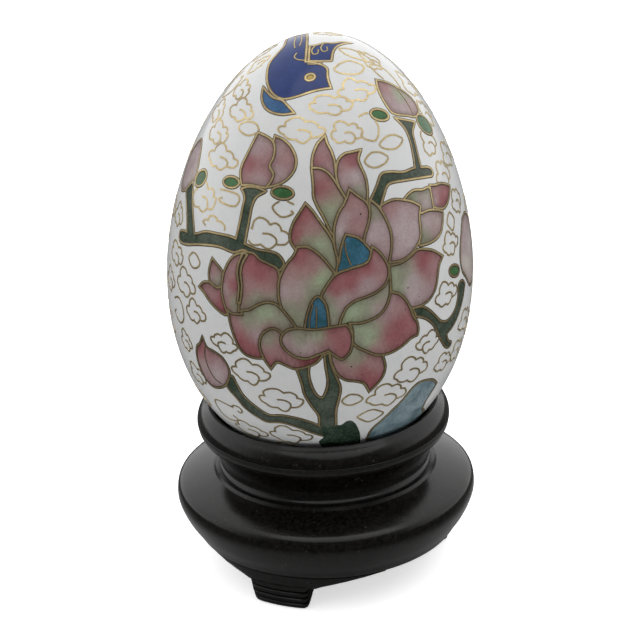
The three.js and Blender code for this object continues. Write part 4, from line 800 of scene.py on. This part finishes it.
def tidy_slivers(corners, faces, owner, pairs):
    """A scrap of a cell that is cut off from its main part is given to the cell beside it."""
    spread_out = roll_up(corners)[0][faces] / MM
    areas = np.linalg.norm(np.cross(spread_out[:, 1] - spread_out[:, 0],
                                    spread_out[:, 2] - spread_out[:, 0]), axis=1) / 2
    for _ in range(3):
        parent = list(range(len(faces)))

        def root(i):
            while parent[i] != i:
                parent[i] = parent[parent[i]]
                i = parent[i]
            return i

        for a, b, _ in pairs:
            if owner[a] == owner[b]:
                parent[root(a)] = root(b)
        roots = np.array([root(i) for i in range(len(faces))])
        area = {r: 0.0 for r in np.unique(roots)}
        for r, s in zip(roots, areas):
            area[r] += s
        largest = {}
        for r, total in area.items():
            kind = owner[r]
            if kind not in largest or total > area[largest[kind]]:
                largest[kind] = r
        scraps = {r for r, total in area.items()
                  if total < SCRAP_AREA or (total < PART_AREA and largest[owner[r]] != r)}
        scraps -= set(largest.values())
        if not scraps:
            break
        border = {}
        for a, b, (i, j) in pairs:
            for mine, other in ((roots[a], b), (roots[b], a)):
                if mine in scraps and roots[other] != mine:
                    length = np.linalg.norm(corners[i] - corners[j])
                    beside = border.setdefault(mine, {})
                    beside[owner[other]] = beside.get(owner[other], 0.0) + length
        gains = {r: max(beside, key=beside.get) for r, beside in border.items()}
        for i, r in enumerate(roots):
            if r in gains:
                owner[i] = gains[r]
    return owner


CORNERS, FACES, OWNER = lay_out()
PAIRS = neighbours(FACES)
OWNER = tidy_slivers(CORNERS, FACES, OWNER, PAIRS)
FORK_WINDOW = unroll([(-5.6, 18.6), (3.4, 18.6), (3.4, 28.4), (-5.6, 28.4)], "side")
OWNER[inside(CORNERS[FACES].mean(axis=1), FORK_WINDOW) & (OWNER == WHITE)] = WINDOW
RIM = sorted({i for one, other, edge in PAIRS if OWNER[one] != OWNER[other] for i in edge})
RIM_TREE = near_tree(CORNERS[RIM])
RIM_WIDE = 0.6
RIM_TINT = np.array((0.52, 0.44, 0.4))


def cell_glaze(flat, spots, kind, tone):
    """Blends the tones of the given spots over a cell, and soils the glaze beside its wire."""
    if not spots:
        return np.tile(TONES[tone], (len(flat), 1))
    seats = roll_up(unroll([s[:2] for s in spots], kind))[0] / MM
    gap = np.linalg.norm((roll_up(flat)[0] / MM)[:, None] - seats[None], axis=2)
    weight = 1 / (gap**TONE_FALL + TONE_SOFT)
    blend = (weight @ np.array([TONES[s[2]] for s in spots])) / weight.sum(axis=1, keepdims=True)
    edge = np.array([distance_to(RIM_TREE, point) for point in flat])
    return blend * (1 - np.exp(-(edge / RIM_WIDE) ** 2)[:, None] * (1 - RIM_TINT))


def place_mesh(name, points, faces):
    mesh = bpy.data.meshes.new(name)
    mesh.from_pydata(points, [], faces)
    piece = bpy.data.objects.new(name, mesh)
    bpy.context.collection.objects.link(piece)
    return piece, mesh


def fill_cell(name, number, spots, kind, tone):
    """One fill of enamel: polished top, straight sides, and a back that lies on the copper."""
    used, index = np.unique(FACES[OWNER == number], return_inverse=True)
    flat, index = CORNERS[used], index.reshape(-1, 3)
    top, normal = roll_up(flat)
    a, b, c = top[index].transpose(1, 0, 2)
    facing = np.einsum("ij,ij->i", np.cross(b - a, c - a), normal[index[:, 0]])
    index = np.where(facing[:, None] < 0, index[:, ::-1], index)
    back = roll_up(flat, ENAMEL_THICK)[0]
    count, caps = len(used), 2 * len(index)
    rim = {}
    for a, b, c in index:
        for pair in ((a, b), (b, c), (c, a)):
            if pair[::-1] in rim:
                del rim[pair[::-1]]
            else:
                rim[pair] = True
    walls = [(b, a, a + count, b + count) for a, b in rim]
    faces = [[int(i) for i in face] for face in [*index, *(index[:, ::-1] + count), *walls]]
    piece, mesh = place_mesh(name, [tuple(p) for p in np.vstack([top, back])], faces)
    mesh.update()
    corner_of = np.empty(len(mesh.loops), int)
    mesh.loops.foreach_get("vertex_index", corner_of)
    bends = np.vstack([normal, -normal])[corner_of]
    for polygon in mesh.polygons[caps:]:
        bends[list(polygon.loop_indices)] = polygon.normal
    mesh.polygons.foreach_set("use_smooth", [True] * len(mesh.polygons))
    mesh.normals_split_custom_set([tuple(b) for b in bends])
    shade = np.ones((2 * count, 4))
    shade[:, :3] = np.tile(cell_glaze(flat, spots, kind, tone), (2, 1))
    glaze = mesh.color_attributes.new("glaze", "FLOAT_COLOR", "POINT")
    glaze.data.foreach_set("color", shade.ravel())
    return piece


def kiln_group():
    """What the fire leaves in glass enamel: mottling, grain, pinholes and a faint waviness."""
    group, given, out = start_group(
        "kiln_marks",
        {"Mottle Size": 350.0, "Grain Size": 2600.0, "Pinhole Size": 420.0, "Pinhole Width": 0.05},
        ["Mottle", "Grain", "Pinholes", "Height"])
    mottle = noise(group, given["Mottle Size"], detail=5.0, roughness=0.62)
    grain = noise(group, given["Grain Size"], detail=2.0)
    cells = add(group, "ShaderNodeTexVoronoi", {
        "Vector": place_in(group), "Scale": given["Pinhole Size"]}).outputs
    chance = add(group, "ShaderNodeSeparateColor", {"Color": cells["Color"]}).outputs["Red"]
    width = calc(group, "MULTIPLY", given["Pinhole Width"], chance)
    hole = calc(group, "LESS_THAN", cells["Distance"], width)
    feed(group, out, {
        "Mottle": ramp(group, mottle, low=0.3, high=0.7),
        "Grain": ramp(group, grain, low=0.3, high=0.7), "Pinholes": hole,
        "Height": calc(group, "MULTIPLY_ADD", hole, -0.6, noise(group, scale=130.0, detail=2.0))})
    return group


KILN = kiln_group()


def fired_enamel(slot, dark, light, grain, pinhole=0.075, pit=(0.03, 0.025, 0.02)):
    """Glass enamel whose own glaze colour is broken up by mottling between dark and light."""
    material, tree, shader = start_material(slot)
    marks = add(tree, "ShaderNodeGroup", {"Pinhole Width": pinhole}, node_tree=KILN).outputs
    colour = add(tree, "ShaderNodeAttribute", attribute_name="glaze").outputs["Color"]
    for mark, low, high in (("Mottle", dark, light), ("Grain", (1 - grain,) * 3, (1 + grain,) * 3)):
        colour = mix_colour(tree, 1.0, colour, mix_colour(tree, marks[mark], low, high), "MULTIPLY")
    feed(tree, shader, {
        "Base Color": mix_colour(tree, marks["Pinholes"], colour, pit),
        "Roughness": spread(tree, marks["Mottle"], low=0.12, high=0.24),
        "Normal": bump(tree, marks["Height"], strength=0.25, distance=0.0002),
        "IOR": 1.5, "Specular IOR Level": 0.32})
    return material


# tone of a plain cell, darkest and lightest mottling and strength of the grain; the white has
# finer and paler pinholes
ENAMEL_LOOKS = {
    "enamel_white": ("white", (0.97, 0.975, 0.985), (1.02, 1.02, 1.01), 0.02, 0.03,
                     (0.12, 0.11, 0.1)),
    "enamel_pink": ("rose", (0.9, 0.83, 0.85), (1.08, 1.13, 1.12), 0.08),
    "enamel_pale": ("rose", (0.9, 0.86, 0.84), (1.08, 1.12, 1.1), 0.08),
    "enamel_dark_green": ("bottle", (0.5, 0.62, 0.5), (1.6, 1.5, 1.5), 0.35),
    "enamel_leaf_green": ("leaf", (0.7, 0.75, 0.7), (1.3, 1.25, 1.3), 0.2),
    "enamel_moss": ("moss", (0.4, 0.5, 0.4), (1.7, 1.7, 1.7), 0.4),
    "enamel_cobalt": ("cobalt", (0.7, 0.75, 0.85), (1.4, 1.3, 1.15), 0.15),
    "enamel_tail_blue": ("steel", (0.75, 0.8, 0.85), (1.3, 1.25, 1.15), 0.15),
    "enamel_turquoise": ("teal", (0.55, 0.7, 0.6), (1.6, 1.3, 1.4), 0.25),
    "enamel_rock_blue": ("ice", (0.4, 0.48, 0.52), (1.25, 1.22, 1.18), 0.15),
    "enamel_yellow": ("amber", (0.7, 0.65, 0.6), (1.2, 1.2, 1.2), 0.2),
}
ENAMELS = {slot: fired_enamel(slot, *look) for slot, (_, *look) in ENAMEL_LOOKS.items()}


def fire(name, number, slot, spots, kind):
    piece = fill_cell(name + "_glaze", number, spots, kind, ENAMEL_LOOKS[slot][0])
    give(piece, ENAMELS[slot])
    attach(piece, "egg")
    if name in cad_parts:
        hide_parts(name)


for number, (name, slot, kind, _, spots) in enumerate(CELLS):
    fire(name, number, slot, spots, kind)
fire("enamel_ground", WHITE, "enamel_white", [], "side")
fire("enamel_fork_window", WINDOW, "enamel_white", [], "side")


# ---------------------------------------------------------------------------------------------
# The cloisons: flat gilt copper wire set on edge round each cell, and soldered to the shell
# before the glass goes in. Grinding leaves its top edge as a fine bright line in the surface.
WIRE_HALF = 0.27
WIRE_PROUD = 0.035
WIRE_DEEP = 0.9
# a wire's section is [share of its half width, height]
CELL_SECTION = [(-1.0, -WIRE_DEEP), (-1.0, 0.0), (-0.5, WIRE_PROUD), (0.0, WIRE_PROUD + 0.01),
                (0.5, WIRE_PROUD), (1.0, 0.0), (1.0, -WIRE_DEEP)]
CLOUD_SECTION = [(-1.0, -WIRE_DEEP), (-0.85, WIRE_PROUD), (0.85, WIRE_PROUD), (1.0, -WIRE_DEEP)]
LEAST_TURN = 0.45


def wire_group():
    """Gilding that is worn thin in places, with dark flecks."""
    group, given, out = start_group(
        "gilt_wear", {"Patch Size": 160.0, "Fleck Size": 2200.0}, ["Thin", "Flecks"])
    feed(group, out, {
        "Thin": ramp(group, noise(group, given["Patch Size"], detail=3.0), low=0.38, high=0.66),
        "Flecks": ramp(group, noise(group, given["Fleck Size"], detail=2.0), low=0.35, high=0.65)})
    return group


def gilt_wire():
    material, tree, shader = start_material("gilt_wire")
    wear = add(tree, "ShaderNodeGroup", node_tree=wire_group()).outputs
    colour = mix_colour(tree, wear["Thin"], (0.68, 0.54, 0.28), (0.4, 0.315, 0.175))
    flecks = calc(tree, "MULTIPLY", wear["Flecks"], 0.3)
    colour = mix_colour(tree, flecks, colour, (0.14, 0.09, 0.05))
    # painted shade: both sides of the wire are painted near black, and only the middle of its edge
    # keeps the gilt colour
    painted_lit_share = add(tree, "ShaderNodeAttribute", attribute_name="painted_lit_share").outputs["Fac"]
    colour = mix_colour(tree, ramp(tree, painted_lit_share, low=0.1, high=0.85), (0.03, 0.022, 0.013), colour)
    feed(tree, shader, {
        "Base Color": colour, "Roughness": spread(tree, wear["Thin"], low=0.34, high=0.5),
        "Metallic": 0.8})
    return material


GILT = gilt_wire()


def unit(vectors):
    return vectors / (np.linalg.norm(vectors, axis=1, keepdims=True) + 1e-12)


def wire_mesh(paths, half, section):
    """Sweeps the wire's section along paths on the egg."""
    points, faces = [], []
    size = len(section)
    for flat, closed in paths:
        place, normal = roll_up(flat)
        ahead = np.roll(place, -1, axis=0) - place
        behind = place - np.roll(place, 1, axis=0)
        if not closed:
            ahead[-1], behind[0] = behind[-1], ahead[0]
        ahead, behind = unit(ahead), unit(behind)
        # the section is widened where the wire turns, so that both its sides run true
        turn = np.einsum("ij,ij->i", ahead, behind)
        side = unit(np.cross(normal, ahead + behind))
        side /= np.sqrt(np.clip((1 + turn) / 2, LEAST_TURN, 1))[:, None]
        start, count = len(points), len(place)
        for p, n, s in zip(place, normal, side):
            points += [tuple(p + s * half * MM * across + n * up * MM) for across, up in section]
        for i in range(count if closed else count - 1):
            here, then = start + i * size, start + (i + 1) % count * size
            for k in range(size):
                m = (k + 1) % size
                faces.append((here + k, then + k, then + m, here + m))
        if not closed:
            faces.append([start + k for k in range(size)])
            faces.append([start + (count - 1) * size + k for k in reversed(range(size))])
    return points, faces


def set_wires(name, paths, section=CELL_SECTION, half=WIRE_HALF):
    points, faces = wire_mesh(paths, half, section)
    piece, mesh = place_mesh(name, points, faces)
    form = bmesh.new()
    form.from_mesh(mesh)
    bmesh.ops.recalc_face_normals(form, faces=form.faces)
    form.to_mesh(mesh)
    form.free()
    # painted shade: the top of a cell wire gets 1 in its middle and 0 at its sides, and the gilt
    # material paints the low values near black; a cloud wire's top gets 1 all across, and the parts
    # under the surface get 0
    painted_lit_shares = [0.0 if up < 0.01 else 1.0 if section is CLOUD_SECTION else 1.0 - 1.05 * abs(across)
             for across, up in section]
    painted_lit_share = mesh.attributes.new("painted_lit_share", "FLOAT", "POINT")
    painted_lit_share.data.foreach_set("value", painted_lit_shares * (len(points) // len(section)))
    give(piece, GILT)
    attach(piece, "egg")
    node = "wire_" + name.removesuffix("_wire")
    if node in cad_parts:
        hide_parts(node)


def chain(edges):
    """Joins short edges end to end into runs; returns each run and whether it closes on itself."""
    links = {}
    for a, b in edges:
        links.setdefault(a, []).append(b)
        links.setdefault(b, []).append(a)
    unused = {(min(e), max(e)) for e in edges}
    runs = []
    ends = [v for v in links if len(links[v]) != 2]
    for start in ends + list(links):
        for step in list(links[start]):
            if (min(start, step), max(start, step)) not in unused:
                continue
            run, here, then = [start], start, step
            while (min(here, then), max(here, then)) in unused:
                unused.discard((min(here, then), max(here, then)))
                run.append(then)
                if len(links[then]) != 2:
                    break
                here, then = then, [v for v in links[then] if v != here][0]
            closed = run[0] == run[-1] and len(run) > 3
            runs.append((run[:-1] if closed else run, closed))
    return runs


# the moss has no wire of its own
MOSS = [cell[0] for cell in CELLS].index("moss_mound")
borders = {}
for one, other, edge in PAIRS:
    first, second = sorted((int(OWNER[one]), int(OWNER[other])))
    if first != second and first < WHITE and MOSS not in (first, second):
        borders.setdefault(first, []).append(edge)
for number in sorted(borders):
    paths = [(CORNERS[run], closed) for run, closed in chain(borders[number]) if len(run) > 1]
    set_wires(CELLS[number][0] + "_wire", paths)


# ---------------------------------------------------------------------------------------------
# Loose lines of the same wire draw the inside of a form: veins, claws, feathers and curls.
# They are thinner than the wires round a cell, and stand on the copper in the same way.
DETAIL_HALF = 0.15
DETAIL_LINES = [
    ("stamen_lines", "side", [[(-3.4, 36), (-4.4, 34), (-4.7, 32.0)],
        [(-2.2, 35.6), (-2.1, 33.8), (-2.2, 32.2)], [(7.8, 45.6), (6.6, 44), (5.6, 42)],
        [(8.2, 45.4), (8.6, 43.8), (10.2, 41.9)]]),
    ("bird_lines", "crown", [[(-1.2, -4.1), (-1.7, -5), (-1.5, -6), (-0.8, -5.9), (-0.7, -5)],
        [(0.1, -3.5), (-0.3, -4.6), (0, -5.5), (0.7, -5.2), (0.6, -4.3)],
        [(-2.4, -7.8), (-1.2, -8.0), (0, -7.8)],
        [(-4.0, -5.0), (-4.4, -5.8), (-3.8, -6.6), (-2.8, -7)],
        [(-4.1, 1.8), (-4.2, 0), (-4.4, -2), (-4.3, -3.6)],
        [(-3.2, 2.2), (-3.2, 0), (-3.3, -2), (-3.6, -3.4)],
        [(1.6, -5.2), (2.2, -3.8), (3.2, -2.7)]]),
    ("bud_lines", "side", [
        [(-47.6, 25.6), (-48.8, 23.8), (-48.2, 21.6), (-45.6, 19.8), (-42.4, 19.2)],
        [(60.3, 65), (61.4, 63), (61, 60.8)]]),
]
for name, kind, lines in DETAIL_LINES:
    set_wires(name, [(drawn_line(line, kind, False), False) for line in lines], half=DETAIL_HALF)


# ---------------------------------------------------------------------------------------------
# Cloud scrolls fill the white ground. Each is one short wire, bent by hand round pliers: it
# starts as a curl inside, turns out at the foot of the cloud and runs round it in five lobes.
# outlines in a square from -1 to 1; a third value of 1 marks a sharp corner
CLOUD_SHAPES = {
    "cloud": [(-0.16, -0.02), (0.12, 0.02), (0.4, -0.16), (0.48, -0.45), (0.36, -0.78),
              (0.16, -0.98), (-0.06, -0.9), (-0.18, -0.76, 1), (-0.45, -0.84), (-0.66, -0.74),
              (-0.76, -0.56, 1), (-0.96, -0.4), (-1.0, -0.05), (-0.86, 0.16), (-0.68, 0.2, 1),
              (-0.7, 0.62), (-0.42, 0.96), (-0.08, 0.92), (0.16, 0.62, 1), (0.42, 0.72),
              (0.66, 0.52), (0.7, 0.28, 1), (0.94, 0.2), (1.0, -0.16), (0.84, -0.48), (0.5, -0.56)],
    "cap": [(-0.7, -0.9), (-1.0, -0.5), (-0.86, 0.0), (-0.6, 0.15, 1), (-0.62, 0.66), (-0.2, 0.98),
            (0.2, 0.7), (0.26, 0.4, 1), (0.6, 0.5), (0.98, 0.1), (0.9, -0.6)],
    "loop": [(-1.0, 0.1, 1), (-0.5, 0.8), (0.2, 1.0), (0.8, 0.5), (1.0, -0.1), (0.6, -0.8),
             (0.0, -1.0), (-0.6, -0.6), (-0.96, 0.0)],
    "hook": [(0.9, 0.75), (0.2, 1.0), (-0.6, 0.8), (-1.0, 0.1), (-0.8, -0.6), (-0.2, -1.0),
             (0.5, -0.9), (0.9, -0.5), (0.6, -0.2)],
    "curl": [(-1.0, 0.6), (-0.6, 1.0), (0.0, 0.8), (0.2, 0.2), (-0.2, -0.2), (-0.4, 0.1)],
}
# [degrees round, height, width in degrees, height in mm, shape, turned left to right]
CLOUDS = [
    (-65.9, 64.1, 19, 2.8, "cloud", 1), (-54, 61.9, 22, 2.9, "cloud", 1),
    (-42.6, 60, 15, 1.8, "loop", -1), (-63.5, 57.9, 19, 3.4, "cloud", 1),
    (-52.6, 55.1, 20, 3.6, "cloud", 1), (-76.5, 60.2, 16, 3.2, "cloud", 1),
    (-56.4, 48.8, 17, 4.8, "cloud", 1), (-41.8, 50, 12, 2.1, "hook", -1),
    (-46.6, 45.8, 12, 2, "cap", 1), (-15.9, 50, 9, 2.2, "hook", 1),
    (-22.2, 46.1, 17.5, 4.8, "cloud", 1), (5, 64.2, 29, 2.7, "cloud", 1),
    (-12, 60.9, 25, 3.2, "cloud", 1), (-54.8, 38.9, 7, 2.5, "loop", 1),
    (-69, 38, 13, 4, "cloud", 1), (26.5, 68.4, 32, 1.6, "loop", 1),
    (25.9, 65.8, 29, 2.8, "cloud", 1), (25.3, 61, 11, 3.8, "hook", -1),
    (12.6, 60.6, 18, 3.2, "cloud", 1), (36.6, 58.5, 14, 2, "loop", -1),
    (25.9, 56.6, 12, 2.2, "loop", -1), (60, 68.6, 23, 2.4, "cloud", 1),
    (62.7, 56.6, 14, 3.7, "cloud", 1), (64.2, 51.7, 13, 4.4, "cloud", 1),
    (76, 60, 15, 4, "cloud", 1), (76.8, 53.5, 14, 4, "cloud", 1), (69.6, 46.8, 11, 4, "cloud", 1),
    (60, 44.6, 6, 2.6, "loop", 1), (57.5, 41.5, 11, 3.8, "cloud", 1),
    (-59.2, 34.6, 14, 4.4, "cloud", 1), (-52.3, 30.7, 11, 4, "cloud", 1),
    (-65, 29.1, 9, 4, "hook", -1), (-38, 27.3, 11.7, 3.5, "cloud", -1),
    (-27.3, 23.2, 15.5, 4.4, "cloud", 1), (-15.9, 18.8, 17.7, 4.4, "cloud", 1),
    (-61, 24.3, 9, 3.6, "cloud", 1), (-46, 13.2, 13, 4, "hook", 1),
    (-14, 11.1, 19, 4.1, "cloud", 1), (-35.5, 10.4, 18, 3.4, "cloud", 1),
    (-36, 14.3, 8, 2.4, "curl", 1), (-18, 7.6, 16, 2.4, "cloud", 1),
    (52.2, 34, 13, 4.2, "cloud", 1), (42.3, 27, 11.4, 3.7, "cloud", -1),
    (36, 22.9, 16, 4.7, "cloud", 1), (26.5, 19.1, 17.4, 4.4, "cloud", 1),
    (12.1, 19.1, 8, 2.2, "loop", -1), (20.7, 15.2, 11, 2.4, "loop", 1),
    (54.7, 21.7, 12, 3.4, "cloud", 1), (69, 27.0, 13, 4, "cloud", 1),
    (-74, 43.8, 10, 4, "cloud", 1), (-74, 33, 10, 4, "cloud", 1), (66, 22, 12, 4, "cloud", 1),
    (-58, 18.6, 12, 4, "cloud", 1), (-67, 12.8, 15, 3.6, "cloud", 1),
]
# [x, y, wide, high, shape, turned left to right] in mm, seen from above
CROWN_CLOUDS = [
    (5.3, -4.7, 5.6, 1.9, "loop", -1), (9.8, -5.6, 5.0, 2.2, "loop", -1),
    (-9.9, -2.4, 3.2, 2.8, "cloud", 1), (-13.8, -1.6, 3.4, 3.0, "hook", 1),
    (-9.0, 1.2, 3.8, 2.8, "cloud", 1), (0.9, 1.6, 4.2, 2.8, "cloud", 1),
    (-4.4, 6.2, 4.6, 3.2, "cloud", 1), (1.2, 6.0, 4.6, 3.2, "cloud", 1),
    (6.4, 4.8, 4.4, 3.2, "cloud", 1), (11.0, 3.4, 4.2, 3.2, "cloud", 1),
    (-13.6, 2.6, 4.0, 3.2, "cloud", 1), (-9.2, 5.6, 4.2, 3.2, "cloud", 1),
    (-3.2, 10.6, 4.6, 3.4, "cloud", 1), (3.0, 10.6, 4.6, 3.4, "cloud", 1),
    (8.8, 8.8, 4.4, 3.4, "cloud", 1), (13.8, 7.0, 4.0, 3.2, "cloud", 1),
    (-13.8, 7.2, 4.0, 3.2, "cloud", 1), (-9.0, 9.8, 4.4, 3.2, "cloud", 1),
]
CLOUD_STEP = 0.16
CLOUD_WOBBLE = 0.08
CLOUD_HALF = 0.18
CLOUD_CLEAR = 0.3
LEAST_RUN = 4
ROW_GAP = 4.7
CLOUD_GAP = 6.3
ROW_APART, ROW_FROM_CELL = 4.6, 1.6
FILL_TRIES, FILL_APART, FILL_FROM_CELL = 4000, 2.2, 2.0
FILL_SHARE, FILL_FLAT = 0.62, 0.78
FIRST_ROW, LAST_ROW = 4.4, 66.5
MIDDLE_FROM, HIGH_FROM = 27, 50
DRAWN_ACROSS = 77


def cloud_line(shape, flip, wide, high, tilt, wobble):
    line = bend_through(CLOUD_SHAPES[shape], False, CLOUD_STEP)
    x = line[:, 0] * flip * wide / 2 * (1 + CLOUD_WOBBLE * np.sin(3 * line[:, 1] + wobble))
    y = line[:, 1] * high / 2 * (1 + CLOUD_WOBBLE * np.sin(3 * line[:, 0] + 2 * wobble))
    c, s = math.cos(tilt), math.sin(tilt)
    return np.stack([x * c - y * s, x * s + y * c], 1)


def on_white(flat):
    """Tells which points lie on the white ground, clear of every cell's wire."""
    free = np.array([distance_to(EDGE_TREE, point) for point in flat]) > CLOUD_CLEAR
    for cell in OUTLINES:
        for line in cell:
            free &= ~inside(flat, line)
    return free


def clear_runs(flat):
    """Cuts a line where it leaves the white, and drops the shortest ends."""
    runs = [[]]
    for point, free in zip(flat, on_white(flat)):
        if free:
            runs[-1].append(point)
        else:
            runs.append([])
    return [(np.array(run), False) for run in runs if len(run) >= LEAST_RUN]


def side_cloud(across, up, wide, high, shape, flip, tilt, wobble):
    line = cloud_line(shape, flip, wide, high, tilt, wobble)
    per_degree = float(radius_at(up)) * math.pi / 180
    quarter = ("front", "right", "back", "left")[int(((across + 45) % 360) // 90)]
    level = "high" if up > HIGH_FROM else "middle" if up > MIDDLE_FROM else "low"
    points = np.stack([across + line[:, 0] / per_degree, up + line[:, 1]], 1)
    runs = clear_runs(unroll(points, "side"))
    cloud_runs.setdefault(f"cloud_wires_{quarter}_{level}", []).extend(runs)


def seat_of(x, y, kind):
    """A cloud's middle, flat and on the egg."""
    flat = unroll([(x, y)], kind)
    return flat, roll_up(flat)[0][0] / MM


def has_room(flat, place, apart, from_cell):
    """Tells whether a cloud fits between those already set and the cells."""
    gap = np.linalg.norm(np.array(taken) - place, axis=1).min()
    return gap >= apart and distance_to(EDGE_TREE, flat[0]) >= from_cell and on_white(flat)[0]


def front_to_back(across):
    return across - 360 if across > 180 else across


rng = random.Random(20)
cloud_runs = {}
taken = []
for across, up, wide, high, shape, flip in CLOUDS:
    wide_mm = wide * float(radius_at(up)) * math.pi / 180
    side_cloud(across, up, wide_mm, high, shape, flip, 0.0, rng.uniform(0, 6))
    taken.append(seat_of(across, up, "side")[1])
for x, y, wide, high, shape, flip in CROWN_CLOUDS:
    points = cloud_line(shape, flip, wide, high, 0.0, rng.uniform(0, 6)) + np.array([x, y])
    cloud_runs.setdefault("cloud_wires_crown", []).extend(clear_runs(unroll(points, "crown")))
    taken.append(seat_of(x, y, "crown")[1])

# rows of clouds go round the sides and the back
row, up = 0, FIRST_ROW
while up < LAST_ROW:
    count = max(3, round(2 * math.pi * float(radius_at(up)) / CLOUD_GAP))
    for i in range(count):
        across = front_to_back((360 * (i + 0.5 * (row % 2)) / count + rng.uniform(-2, 2)) % 360)
        height = up + rng.uniform(-0.35, 0.35)
        high, wide = rng.uniform(3.3, 4.1), rng.uniform(4.6, 5.6)
        shape = rng.choice(["cloud"] * 8 + ["hook", "loop"])
        wobble, tilt = rng.uniform(0, 6), rng.uniform(-0.2, 0.2)
        flat, place = seat_of(across, height, "side")
        if abs(across) >= DRAWN_ACROSS and has_room(flat, place, ROW_APART, ROW_FROM_CELL):
            taken.append(place)
            side_cloud(across, height, wide, high, shape, 1, tilt, wobble)
    row += 1
    up += ROW_GAP / math.hypot(1, float(slope_at(up + ROW_GAP / 2, 0.1)))

# small curls and loops close the gaps that the rows leave on the back
spare = random.Random(11)
for _ in range(FILL_TRIES):
    across, height = front_to_back(spare.uniform(96, 264)), spare.uniform(7, 66)
    wide, shape = spare.uniform(2.3, 3.2), spare.choice(["cloud", "cloud", "cap", "loop", "hook"])
    wobble, tilt = spare.uniform(0, 6), spare.uniform(-0.4, 0.4)
    flat, place = seat_of(across, height, "side")
    if has_room(flat, place, FILL_APART + FILL_SHARE * wide, FILL_FROM_CELL):
        taken.append(place)
        side_cloud(across, height, wide, FILL_FLAT * wide, shape, 1, tilt, wobble)
for name in sorted(cloud_runs):
    set_wires(name, cloud_runs[name], CLOUD_SECTION, CLOUD_HALF)


# ---------------------------------------------------------------------------------------------
# A plain pale floor under a soft white surround that is darker on the side of the viewer, one
# broad soft light above, and the camera.
def make_floor():
    bpy.ops.object.select_all(action="DESELECT")
    bpy.ops.mesh.primitive_plane_add(size=6, location=(0, 0, 0))
    floor = bpy.context.object
    floor.name = "floor"
    material, tree, shader = start_material("pale_floor")
    # the floor throws soft light up on the egg, shows dim in the lacquer, and looks white itself
    path = add(tree, "ShaderNodeLightPath").outputs
    away = add(tree, "ShaderNodeVectorMath", {0: place_in(tree)},
               operation="LENGTH").outputs["Value"]
    mirrored = mix_colour(tree, ramp(tree, away, low=0.034, high=0.056), (0.42,) * 3, (0.07,) * 3)
    thrown = mix_colour(tree, path["Is Glossy Ray"], (0.7,) * 3, mirrored)
    feed(tree, shader, {
        "Base Color": mix_colour(tree, path["Is Camera Ray"], thrown, (0.95,) * 3),
        "Emission Color": (1, 1, 1, 1),
        "Emission Strength": calc(tree, "MULTIPLY", path["Is Camera Ray"], 0.6),
        "Roughness": 0.9, "Specular IOR Level": 0.1})
    give(floor, material)


def light_room():
    world = bpy.data.worlds.new("white_surround")
    bpy.context.scene.world = world
    world.use_nodes = True
    tree = world.node_tree
    aim = add(tree, "ShaderNodeTexCoord").outputs["Generated"]
    depth = add(tree, "ShaderNodeSeparateXYZ", {"Vector": aim}).outputs["Y"]
    feed(tree, tree.nodes["Background"], {
        "Color": (1.0, 1.0, 1.0, 1),
        "Strength": add(tree, "ShaderNodeMapRange", {
            "Value": depth, "From Min": -0.8, "From Max": 0.2, "To Min": 0.12, "To Max": 1.4},
            interpolation_type="SMOOTHSTEP").outputs["Result"]})


LAMP_SIZE = 2.0
LAMP_POWER = 11.5
LAMP_PLACE = Vector((0.15, -0.6, 1.4))
CAMERA_AWAY = 0.35
CAMERA_RISE = math.radians(22)
CAMERA_ROLL = math.radians(-2.25)
CAMERA_LENS = 120.07
CAMERA_SHIFT = (0.003125, -0.0625)
LOOK_AT = Vector((0, 0, 0.05))


def hang_light():
    data = bpy.data.lights.new("overhead_light", "AREA")
    data.shape = "DISK"
    data.size = LAMP_SIZE
    data.energy = LAMP_POWER
    lamp = bpy.data.objects.new("overhead_light", data)
    bpy.context.collection.objects.link(lamp)
    lamp.location = LAMP_PLACE
    lamp.rotation_euler = (LOOK_AT - LAMP_PLACE).to_track_quat("-Z", "Y").to_euler()


def set_camera():
    data = bpy.data.cameras.new("camera")
    data.sensor_width = 36
    data.lens = CAMERA_LENS
    data.shift_x, data.shift_y = CAMERA_SHIFT
    data.clip_start = 0.01
    camera = bpy.data.objects.new("camera", data)
    bpy.context.collection.objects.link(camera)
    back = Vector((0, -math.cos(CAMERA_RISE), math.sin(CAMERA_RISE)))
    turn = (-back).to_track_quat("-Z", "Y").to_matrix().to_4x4()
    camera.matrix_world = (Matrix.Translation(LOOK_AT + back * CAMERA_AWAY) @ turn
                           @ Matrix.Rotation(CAMERA_ROLL, 4, "Z"))
    bpy.context.scene.camera = camera


make_floor()
light_room()
hang_light()
set_camera()
bpy.context.scene.view_settings.view_transform = "Standard"
